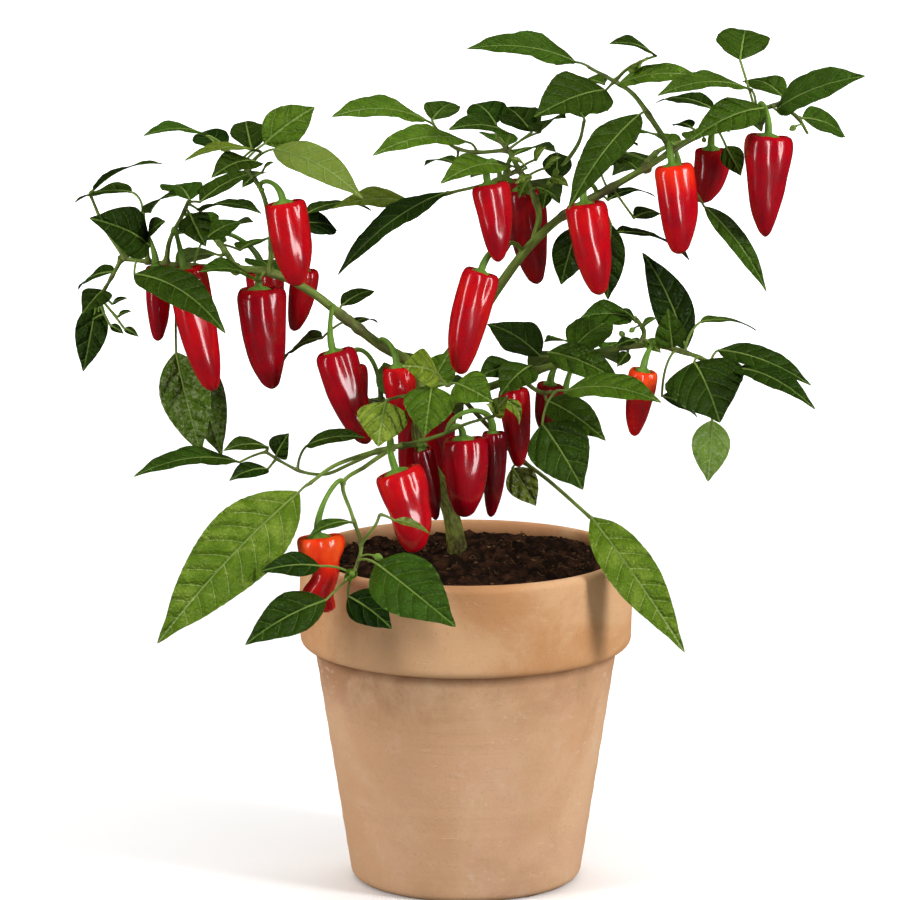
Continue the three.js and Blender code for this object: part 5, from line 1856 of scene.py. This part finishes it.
@dataclass(frozen=True)
class BladeForm:
    """How a leaf is made: its stalk, and its blade's arch, fold, waves and thickness.

    Attributes:
        thickness: at the midrib, mm.
        arch: the rib's rise as a share of the length.
        fold: the margins' rise over the rib as a share of the half width.
        wave: the margins' waves as a share of the half width.
        ripple: the margins' small waves as a share of the half width.
        quilt: the rise between side veins, mm, on a broad blade.
        spacing: the distance between side veins, mm.
        petiole: the stalk's radius, mm.
        rib_end: how far along the blade its midrib stands out, as a share of its length.
        rib_sides: vertices round the stalk and the midrib.
        twist: the most that a blade turns about its rib, degrees.
        sway: the most that its rib bends sideways, as a share of its length.
        columns: grid columns on each side of the rib.
        pitch: the grid's rows are about this far apart, mm.
    """

    thickness: float = 0.5
    arch: float = 0.09
    fold: float = 0.14
    wave: float = 0.07
    ripple: float = 0.018
    quilt: float = 0.62
    spacing: float = 13.0
    petiole: float = 0.85
    rib_end: float = 0.9
    rib_sides: int = 8
    twist: float = 9.0
    sway: float = 0.02
    columns: int = 9
    pitch: float = 2.2

    @staticmethod
    def outline(t: np.ndarray) -> np.ndarray:
        """Half width at a share of the length, as a share of its widest: oval with a drawn-out tip."""
        oval = np.sin(math.pi * t**0.8) ** 0.9 * (1 - 0.25 * t) / 0.905
        tip = 1 - 0.14 * np.exp(-(((t - 0.90) / 0.06) ** 2))
        return oval * tip * (1 - 0.18 * np.exp(-((t / 0.06) ** 2)))

    @staticmethod
    def wave_at(t: np.ndarray, length: float) -> np.ndarray:
        """Finds the margin's wave, which changes sign from one cross section to the next.

        Args:
            t: shares of the length.
            length: the blade's length, mm.

        Returns:
            The wave there, from -1 to 1.
        """
        at = (0.2, 0.62) if length <= 40 else (0.13, 0.42, 0.74) if length <= 75 else (0.1, 0.32, 0.58, 0.82)
        step = at[1] - at[0]
        places = np.array([at[0] - step, *at, at[-1] + step])
        return np.cos(math.pi * np.interp(t, places, np.arange(-1, len(at) + 1)))

    def leaf(self, mesh: MeshParts, spec: Leaf, root: np.ndarray, seed: str) -> None:
        """Adds one leaf to a mesh.

        Args:
            mesh: the mesh; its finishes are the top, the underside and the stalk.
            spec: the leaf.
            root: the point of the branch that it grows from.
            seed: names its random draw.
        """
        draw = random.Random(seed)
        foot, end = VIEW.place(spec.base), VIEW.place(spec.tip)
        length = float(np.linalg.norm(end - foot))
        axis = (end - foot) / length
        turn = math.radians(spec.facing)
        normal = np.array([0.0, -math.sin(turn), math.cos(turn)])
        normal = unit(normal - axis * (normal @ axis))
        side = np.cross(normal, axis)
        twist = math.radians(draw.uniform(-self.twist, self.twist))
        sway = spec.bow or draw.uniform(-self.sway, self.sway)
        phase = draw.uniform(0, 2 * math.pi)

        rows = int(np.clip(round(length / self.pitch), 14, 56))
        even = np.linspace(0, 1, rows)
        t = 0.003 + 0.994 * (0.55 * even + 0.45 * (0.5 - 0.5 * np.cos(math.pi * even)))
        a = (np.arange(self.columns + 1) / self.columns) ** 1.25
        u = np.concatenate([a[:0:-1], [0.0], -a[1:]])
        half = spec.width / 2 * self.outline(t)[:, None]
        wave = self.wave_at(t, length)[:, None] * np.where(u > 0, 1.0, -1.0)
        small = np.sin(2 * math.pi * t[:, None] * length / 15 + phase + 1.9 * np.sign(u))
        small = small + 0.6 * np.sin(2 * math.pi * t[:, None] * length / 8.3 + 2 * phase - np.sign(u))
        away = np.abs(u)
        lift = self.fold * away**1.15 + self.wave * wave * away**1.6 + self.ripple * small * away**2.4
        lift = half * (lift - 0.05 * away**4)
        off = half * away
        count = max(3.0, length / self.spacing)
        lag = off / length
        course = count * (t[:, None] - 0.55 * lag - 2.0 * lag**2)
        tent = 1 - np.abs(2 * ((course + np.where(u > 0, 0.5, 0.0)) % 1) - 1)
        broad = np.clip(spec.width / 34, 0.45, 1.2)
        puff = self.quilt * broad * (tent**0.7 - 0.5) * ease(off, 0.3, 3.5) * ease(-away, -1.0, -0.8)
        lift = lift + puff

        along = foot + axis * (length * t[:, None])
        rise = 4 * t * (1 - t)
        rib = along + normal * (self.arch * length * rise)[:, None] + side * (sway * length * rise)[:, None]
        angle = twist * (t - 0.25)
        across = side * np.cos(angle)[:, None] + normal * np.sin(angle)[:, None]
        up = normal * np.cos(angle)[:, None] - side * np.sin(angle)[:, None]
        serrate = 1 + 0.008 * np.sin(2 * math.pi * t[:, None] * length / 5.5 + phase)
        over = rib[:, None] + across[:, None] * (half * u * serrate)[..., None]
        over = over + up[:, None] * lift[..., None]
        depth = self.thickness * (1 - 0.55 * away)
        under = over - up[:, None] * depth[:, None]
        self.add_blade(mesh, spec, over, under, course, off, away, draw, t)
        self.add_stalk(mesh, root, foot, axis, rib - up * 0.25, t)

    @staticmethod
    def add_blade(mesh: MeshParts, spec: Leaf, over: np.ndarray, under: np.ndarray, course: np.ndarray,
                  off: np.ndarray, away: np.ndarray, draw: random.Random, t: np.ndarray) -> None:
        """Adds a blade's two faces, which share their margin.

        Args:
            mesh: the mesh.
            spec: the leaf.
            over: the upper face's grid of points.
            under: the lower face's grid of points.
            course: each point's place between the side veins.
            off: each point's distance from the midrib, mm.
            away: each column's place from the rib, 0, to the margin, 1.
            draw: the leaf's random draw.
            t: each row's share of the length.
        """
        rows, columns = over.shape[:2]
        inner = np.zeros((rows, columns), bool)
        inner[1:-1, 1:-1] = True
        top_number = np.arange(rows * columns).reshape(rows, columns)
        low_number = top_number.copy()
        low_number[inner] = rows * columns + np.arange(int(inner.sum()))
        grid = grid_faces(rows, columns)
        faces = np.concatenate([top_number.ravel()[grid], low_number.ravel()[grid[:, ::-1]]])
        middle = columns // 2
        left = (grid[:, 0] % columns) < middle
        phase = course.ravel()[grid] + np.where(left, 0.5, 0.0)[:, None]
        chart = np.stack([phase, off.ravel()[grid]], 2)
        light, yellow, mottle = spec.tone.value
        light = light + draw.uniform(-0.05, 0.05) + 0.05 * (1 - t[:, None])
        channels = np.broadcast_arrays(light, yellow + draw.uniform(-0.04, 0.08), mottle, away)
        tints = np.stack([np.clip(channel, 0, 1) for channel in channels], 2)
        points = np.concatenate([over.reshape(-1, 3), under[inner]])
        skins = np.repeat([1, 0] if spec.turned else [0, 1], len(grid))
        mesh.add(
            points, faces, skins,
            tints=np.concatenate([tints.reshape(-1, 4), tints[inner]]),
            corners=np.concatenate([chart, chart[:, ::-1]]),
        )

    def add_stalk(self, mesh: MeshParts, root: np.ndarray, foot: np.ndarray, axis: np.ndarray,
                  rib: np.ndarray, t: np.ndarray) -> None:
        """Adds a leaf's stalk, which goes on under the blade as its midrib.

        A blade that starts right at its branch has a midrib only.

        Args:
            mesh: the mesh.
            root: where the stalk starts.
            foot: where the blade starts.
            axis: the blade's direction.
            rib: the midrib's points.
            t: each rib point's share of the length.
        """
        span = float(np.linalg.norm(foot - root))
        bend = (root + foot) / 2 - axis * 0.16 * span + (0, 0, 0.12 * span)
        shares = np.linspace(0, 1, max(5, round(span / 3)) + 1)[:-1]
        if span < self.petiole:
            shares = shares[:0]
        raised = t < self.rib_end
        line = np.concatenate([bezier((root, bend, foot), shares), rib[raised]])
        along = np.concatenate([np.zeros(len(shares)), t[raised]])
        near = np.linalg.norm(line - root, axis=1)
        radii = self.petiole * (1 - 0.78 * ease(along, 0.0, self.rib_end))
        radii = radii * (1 + 0.55 * np.exp(-((near / 2.6) ** 2)))
        points, faces, grain = tube(line, radii, self.rib_sides)
        tints = ring_tints(self.rib_sides, 0.5 * np.exp(-((near / 4) ** 2)), 0.15 + 0.2 * along)
        mesh.add(points, faces, 2, tints=tints, grains=grain)


# ---- Pods ----


@dataclass(frozen=True)
class PodForm:
    """How a pod is made: sunken crown, rounded shoulders, three soft lobes and a blunt tip.

    Attributes:
        lobes: how far the three lobes stand out, as a share of the radius.
        crown: the crown's radius as a share of the pod's radius.
        crown_depth: how far it lies below the shoulders, as a share of the length.
        shoulder: the width where the shoulders start, as a share of the radius.
        shoulder_span: where along the pod it is widest.
        widths: shares of the length, a slim pod's width there, and how much wider a full pod is.
        blunt: where along the pod its rounded tip starts.
        crease: how deep the creases between the lobes are, as a share of the radius.
        dimple: how far they dip at the shoulders, as a share of the diameter.
        wrinkle: how uneven the skin is, as a share of the radius.
        streaks: how far the skin's streaks are stretched along the pod.
        sides: vertices round it.
    """

    lobes: float = 0.075
    crown: float = 0.5
    crown_depth: float = 0.035
    shoulder: float = 0.78
    shoulder_span: float = 0.10
    widths: tuple[Point, ...] = ((0.1, 1.0, 0.0), (0.42, 0.80, 0.18), (0.8, 0.46, 0.24), (1.0, 0.14, 0.22))
    blunt: float = 0.93
    crease: float = 0.09
    dimple: float = 0.018
    wrinkle: float = 0.055
    streaks: float = 9.0
    sides: int = 48

    def line(self, spec: Pod) -> tuple[np.ndarray, np.ndarray, np.ndarray]:
        """The three points of a pod's bent centreline, from its shoulders' middle to its tip."""
        start, end = VIEW.place(spec.top), VIEW.place(spec.tip)
        return start, start + (end - start) * 0.55 + (spec.bend, 0.0, 0.0), end

    def seat(self, spec: Pod) -> tuple[np.ndarray, np.ndarray]:
        """Finds where a calyx sits in a pod's crown.

        Args:
            spec: the pod.

        Returns:
            The point, and the pod's direction there.
        """
        curve = self.line(spec)
        points = bezier(curve, np.linspace(0, 1, 60))
        length = float(np.linalg.norm(np.diff(points, axis=0), axis=1).sum())
        heading = unit(curve[1] - curve[0])
        return curve[0] + heading * (self.crown_depth * length - GAP), heading

    def sections(self, fullness: float) -> tuple[np.ndarray, np.ndarray]:
        """Lists the pod's cross sections from its crown's middle to its tip.

        Args:
            fullness: how full the pod stays towards its tip.

        Returns:
            Each section's place along the pod and its width, both as shares.
        """
        deep = self.crown_depth
        crown = np.linspace(0.03, 1, 4) * self.crown
        lip = np.linspace(0, 1, 7)[1:]
        lip_width = self.crown + (self.shoulder - self.crown) * lip
        lip_place = deep * (1 - ease(lip, 0, 1))
        round_share = np.linspace(0, 1, 9)[1:]
        shoulder = self.shoulder + (1 - self.shoulder) * np.sqrt(1 - (1 - round_share) ** 2)
        end = 1 - 0.1 * np.linspace(1, 0.03, 14)[1:] ** 2
        s = np.concatenate([np.linspace(self.shoulder_span, 0.9, 32)[1:], end])
        shares, slim, extra = np.array(self.widths).T
        body = smooth_values(shares, slim + extra * fullness, s)
        body = body * np.sqrt(np.clip(1 - ((s - self.blunt) / (1 - self.blunt)).clip(0, 1) ** 2, 0, 1))
        places = [np.full(len(crown), deep), lip_place, self.shoulder_span * round_share, s]
        return np.concatenate(places), np.concatenate([crown, lip_width, shoulder, body])

    def build(self, spec: Pod) -> bpy.types.Object:
        """Makes a pod.

        Args:
            spec: the pod.

        Returns:
            The piece.
        """
        curve = self.line(spec)
        heading = unit(curve[1] - curve[0])
        normal = unit(np.array([1.0, 0.0, 0.0]) - heading * heading[0])
        across = np.cross(heading, normal)
        places, widths = self.sections(spec.fullness)
        widths = widths * (1 - spec.waist * np.exp(-(((places - 0.45) / 0.18) ** 2)))
        centres = bezier(curve, places)
        coil = np.sin(2 * math.pi * (places - 0.31) / 0.54) * ease(places, 0.15, 0.45)
        centres = centres + normal * (spec.curl * coil)[:, None]
        angles = angles_round(self.sides)
        own = np.random.default_rng(list(spec.name.encode()))
        shift = own.uniform(-0.35, 0.35)
        lobe = np.cos(3 * angles + shift)
        s = places[:, None]
        body = ease(widths[:, None], self.crown, self.shoulder)
        swell = self.lobes * lobe * body * (1 - 0.7 * ease(s, 0.3, 1.0))
        crease = -self.crease * np.clip(-lobe, 0, 1) ** 4 * body * (1 - ease(s, 0.02, 0.5))
        uneven = np.empty((len(places), self.sides))
        away = float(own.uniform(0, 90))
        for row, place in enumerate(places):
            for column, angle in enumerate(angles):
                at = Vector((1.3 * math.cos(angle) + away, 1.3 * math.sin(angle), 2.6 * place))
                fine = Vector((3.2 * math.cos(angle) + away, 3.2 * math.sin(angle), 4.5 * place))
                uneven[row, column] = noise.noise(at) + 0.4 * noise.noise(fine)
        radius = spec.diameter / 2 * widths[:, None] * (1 + swell + crease + self.wrinkle * uneven * body)
        dimple = self.dimple * spec.diameter * np.clip(-lobe, 0, 1) ** 2 * body * (1 - ease(s, 0.0, 0.12))
        points = centres[:, None] + heading * dimple[..., None] + (
            normal * np.cos(angles)[:, None] + across * np.sin(angles)[:, None]
        ) * radius[..., None]
        points = np.concatenate([points.reshape(-1, 3), [centres[0], centres[-1] + 0.1 * heading]])
        first, last, until = spec.ripeness.value
        ripe = first + (last - first) * ease(s, 0.05, until) + 0.05 * uneven
        tints = np.zeros((len(points), 4))
        tints[:, 0] = [*np.clip(ripe, 0, 1).ravel(), first, last]
        grain = ring_grain(angles, places * self.streaks, (0.0, self.streaks))
        mesh = MeshParts((ORANGE_SKIN if spec.orange else RED_SKIN,))
        mesh.add(points, capped_faces(len(places), self.sides), tints=tints, grains=grain)
        piece = mesh.build(f"{spec.name}_pepper", sharp=75)
        place_piece(piece, "orange_pod" if spec.orange else "red_pod", f"pod_{spec.name}")
        return piece


@dataclass(frozen=True)
class StalkForm:
    """A pod's stalk with its calyx, and the flower buds on theirs, mm.

    Attributes:
        radius: the stalk's radius.
        cap: the calyx's radius as a share of the pod's diameter.
        neck: how far above its seat the calyx has narrowed to the stalk.
        teeth: how far the calyx's five teeth stand out, as a share of its radius.
        bell: the calyx's rings: the height of each over its seat, its share of the calyx's radius, and how
            much of the teeth shows there.
        sides: vertices round it.
        bud_sides: vertices round a bud and its stalk.
    """

    radius: float = 1.7
    cap: float = 0.23
    neck: float = 3.5
    teeth: float = 0.14
    bell: tuple[Point, ...] = (
        (2.9, 0.55, 0.1), (2.3, 0.76, 0.3), (1.6, 0.93, 0.7), (0.9, 1.03, 1.0), (0.3, 1.06, 1.0),
        (0.0, 0.92, 1.0),
    )
    sides: int = 40
    bud_sides: int = 16

    def pedicel(self, mesh: MeshParts, spec: Pod, form: PodForm,
                root_of: Callable[[np.ndarray], np.ndarray]) -> None:
        """Adds a pod's stalk and calyx.

        Args:
            mesh: the mesh.
            spec: the pod.
            form: how the pod is made.
            root_of: finds the branch point that is nearest to a point.
        """
        seat, heading = form.seat(spec)
        neck = seat - heading * self.neck
        start = root_of(VIEW.place(spec.root) if spec.root else seat - heading * 16)
        reach = float(np.linalg.norm(neck - start))
        lifted = np.array([start[0], start[1], max(start[2], neck[2]) + 0.3 * reach])
        arch = bezier((start, lifted, seat - heading * (6 + 0.4 * reach), neck), np.linspace(0, 1, 22))
        rises, widths, weights = np.array(self.bell).T
        line = np.concatenate([arch, seat - heading * rises[:, None]])
        share = np.linspace(0, 1, len(arch))
        stalk = 0.92 + 0.55 * ease(share, 0.55, 1.0) + 0.3 * np.exp(-((share / 0.06) ** 2))
        radii = np.concatenate([self.radius * stalk, self.cap * spec.diameter * widths])
        points, faces, grain = tube(line, radii, self.sides)
        star = 1 + self.teeth * (np.cos(5 * angles_round(self.sides)) ** 2 - 0.5)
        for row, weight in enumerate(weights, len(arch)):
            at = slice(row * self.sides, (row + 1) * self.sides)
            points[at] = line[row] + (points[at] - line[row]) * (1 + weight * (star - 1))[:, None]
        plain = np.zeros(len(weights))
        knot = np.concatenate([0.5 * np.exp(-((share / 0.08) ** 2)), plain])
        tints = ring_tints(self.sides, knot, np.concatenate([0.25 * (1 - share), plain]))
        mesh.add(points, faces, tints=tints, grains=grain)

    def bud(self, mesh: MeshParts, spec: Bud, root: np.ndarray) -> None:
        """Adds a flower bud on its stalk.

        Args:
            mesh: the mesh.
            spec: the bud.
            root: the point of the branch that its stalk grows from.
        """
        middle = VIEW.place(spec.place)
        heading = unit(middle - root + np.array([0.0, 0.0, -0.25 * np.linalg.norm(middle - root)]))
        base, tip = middle - heading * spec.size * 0.62, middle + heading * spec.size * 0.7
        bend = (root + base) / 2 + np.array([0.0, 0.0, 0.22 * np.linalg.norm(base - root)])
        stalk = bezier((root, bend, base), np.linspace(0, 1, 10))
        knob = [base + (tip - base) * share for share in np.linspace(0, 1, 12)[1:]]
        wide = spec.size * 0.42 * np.sin(math.pi * np.linspace(0.06, 0.97, 11) ** 0.8)
        line = np.array([*stalk, *knob])
        radii = np.concatenate([np.linspace(0.7, 0.55, 9), [spec.size * 0.20], wide])
        points, faces, grain = tube(line, np.maximum(radii, 0.1), self.bud_sides)
        mesh.add(points, faces, tints=(0.0, 0.35, 0.0, 0.0), grains=grain)


# ---- A leafy shoot ----


@dataclass(frozen=True)
class LeafyShoot:
    """A leafy shoot: its branches, its leaves, its pods and their stalks."""

    spec: Shoot
    stems: StemForm = StemForm()
    blades: BladeForm = BladeForm()
    stalks: StalkForm = StalkForm()
    pods: PodForm = PodForm()

    def root_of(self, point: np.ndarray) -> np.ndarray:
        """Finds the point of the branches that lies nearest to a point.

        Args:
            point: the point, mm.

        Returns:
            The nearest point of their centrelines, mm.
        """
        best, least = point, math.inf
        for branch in self.spec.branches:
            line = branch.line(self.stems.root_steps)
            steps = np.diff(line, axis=0)
            shares = ((point - line[:-1]) * steps).sum(1) / (steps * steps).sum(1)
            found = line[:-1] + steps * np.clip(shares, 0, 1)[:, None]
            gaps = np.linalg.norm(found - point, axis=1)
            if gaps.min() < least:
                best, least = found[gaps.argmin()], float(gaps.min())
        return best

    def build(self) -> list[bpy.types.Object]:
        """Makes the shoot's stems, leaves, pod stalks and pods.

        Returns:
            The pieces.
        """
        spec = self.spec
        leaves = (*spec.leaves, *spec.sprigs)
        leaf_roots = [self.root_of(VIEW.place(leaf.base)) for leaf in leaves]
        forks = [VIEW.place(branch.points[0]) for branch in spec.branches[1:]]
        wood = MeshParts((STEM,))
        self.stems.tubes(wood, spec.branches, np.array([*leaf_roots, *forks]))
        pieces = [wood.build(f"{spec.name}_stems", sharp=80)]
        blades = MeshParts((BLADE_TOP, BLADE_UNDER, STALK))
        for number, (leaf, root) in enumerate(zip(leaves, leaf_roots)):
            self.blades.leaf(blades, leaf, root, f"{spec.name}{number}")
        pieces.append(blades.build(f"{spec.name}_leaves", sharp=60))
        if spec.pods or spec.buds:
            caps = MeshParts((CALYX,))
            for pod in spec.pods:
                self.stalks.pedicel(caps, pod, self.pods, self.root_of)
            for bud in spec.buds:
                self.stalks.bud(caps, bud, self.root_of(VIEW.place(bud.place)))
            pieces.append(caps.build(f"{spec.name}_calyxes", sharp=60))
        for piece, slot in zip(pieces, ("stem", "foliage", "foliage")):
            place_piece(piece, slot, spec.name)
        return [*pieces, *(self.pods.build(pod) for pod in spec.pods)]


# ---- The studio ----


@dataclass(frozen=True)
class Lamp:
    """A soft box, which lights the surfaces, or a strip, which only glossy ones show, in metres.

    Attributes:
        power: in watts.
        size: its width and height.
        place: where it stands.
        target: the point that it faces.
        strip: whether it is a strip.
    """

    name: str
    power: float
    size: tuple[float, float]
    place: Point
    target: Point = (0.0, 0.0, 0.3)
    strip: bool = False

    def build(self) -> None:
        """Adds the light."""
        data = bpy.data.lights.new(self.name, "AREA")
        data.shape = "RECTANGLE"
        data.size, data.size_y = self.size
        data.energy = self.power
        lamp = bpy.data.objects.new(self.name, data)
        lamp.location = self.place
        lamp.rotation_euler = (Vector(self.target) - Vector(self.place)).to_track_quat("-Z", "Y").to_euler()
        lamp.visible_diffuse = not self.strip
        lamp.visible_glossy = self.strip
        bpy.context.scene.collection.objects.link(lamp)


@dataclass(frozen=True)
class Studio:
    """A white floor under large soft boxes, with tall strips that reach down to it, in metres.

    Attributes:
        half: the floor's half width.
        world: how strongly the world lights the object.
        lamps: the lights.
    """

    half: float = 30.0
    world: float = 0.30
    lamps: tuple[Lamp, ...] = (
        Lamp("key_box", 49.0, (0.55, 1.3), (2.00, -1.20, 1.25)),
        Lamp("fill_box", 33.0, (0.55, 1.3), (-1.95, -1.15, 1.05)),
        Lamp("top_box", 10.0, (1.6, 1.2), (0.1, -0.2, 2.1)),
        Lamp("far_box", 105.0, (5.0, 2.5), (0.0, 2.6, 2.6), (0.0, 2.6, 0.0)),
        Lamp("right_strip", 20.0, (0.30, 1.5), (1.05, -1.20, 0.76), (0.0, 0.0, 0.76), strip=True),
        Lamp("left_strip", 11.0, (0.20, 1.5), (-1.15, -1.05, 0.76), (0.0, 0.0, 0.76), strip=True),
    )

    def build(self) -> None:
        """Makes the floor, the light and the camera."""
        ends = (-self.half / METRES, self.half / METRES)
        mesh = MeshParts((FLOOR,))
        mesh.add(np.array([(x, y, 0.0) for y in ends for x in ends]), grid_faces(2, 2))
        mesh.build("studio_floor")
        world = bpy.data.worlds.new("studio")
        world.use_nodes = True
        world.node_tree.nodes.clear()
        sheet = NodeSheet(world.node_tree)
        seen = sheet.add("LightPath").outputs["Is Camera Ray"]
        strength = sheet.scaled(seen, 1.0 - self.world, self.world)
        backdrop = sheet.add("Background", {"Color": linear("FFFFFF"), "Strength": strength})
        sheet.add("OutputWorld", {"Surface": backdrop.outputs["Background"]})
        bpy.context.scene.world = world
        world.cycles_visibility.glossy = False
        for lamp in self.lamps:
            lamp.build()
        bpy.context.scene.view_settings.view_transform = "Standard"
        VIEW.make_camera()


def main() -> None:
    """Builds the studio, then the pot, the soil and the plant, and logs each piece."""
    logging.basicConfig(level=logging.INFO, format="%(name)s: %(message)s")
    Studio().build()
    pot = TerracottaPot()
    foot = VIEW.place(TRUNK.points[0])
    soil = PottingSoil(pot, (float(foot[0]), float(foot[1])))
    pot.build()
    soil.build()
    Trunk().build(soil)
    for spec in SHOOTS:
        LOG.info("%s: %d pieces", spec.name, len(LeafyShoot(spec).build()))


if __name__ == "__main__":
    main()
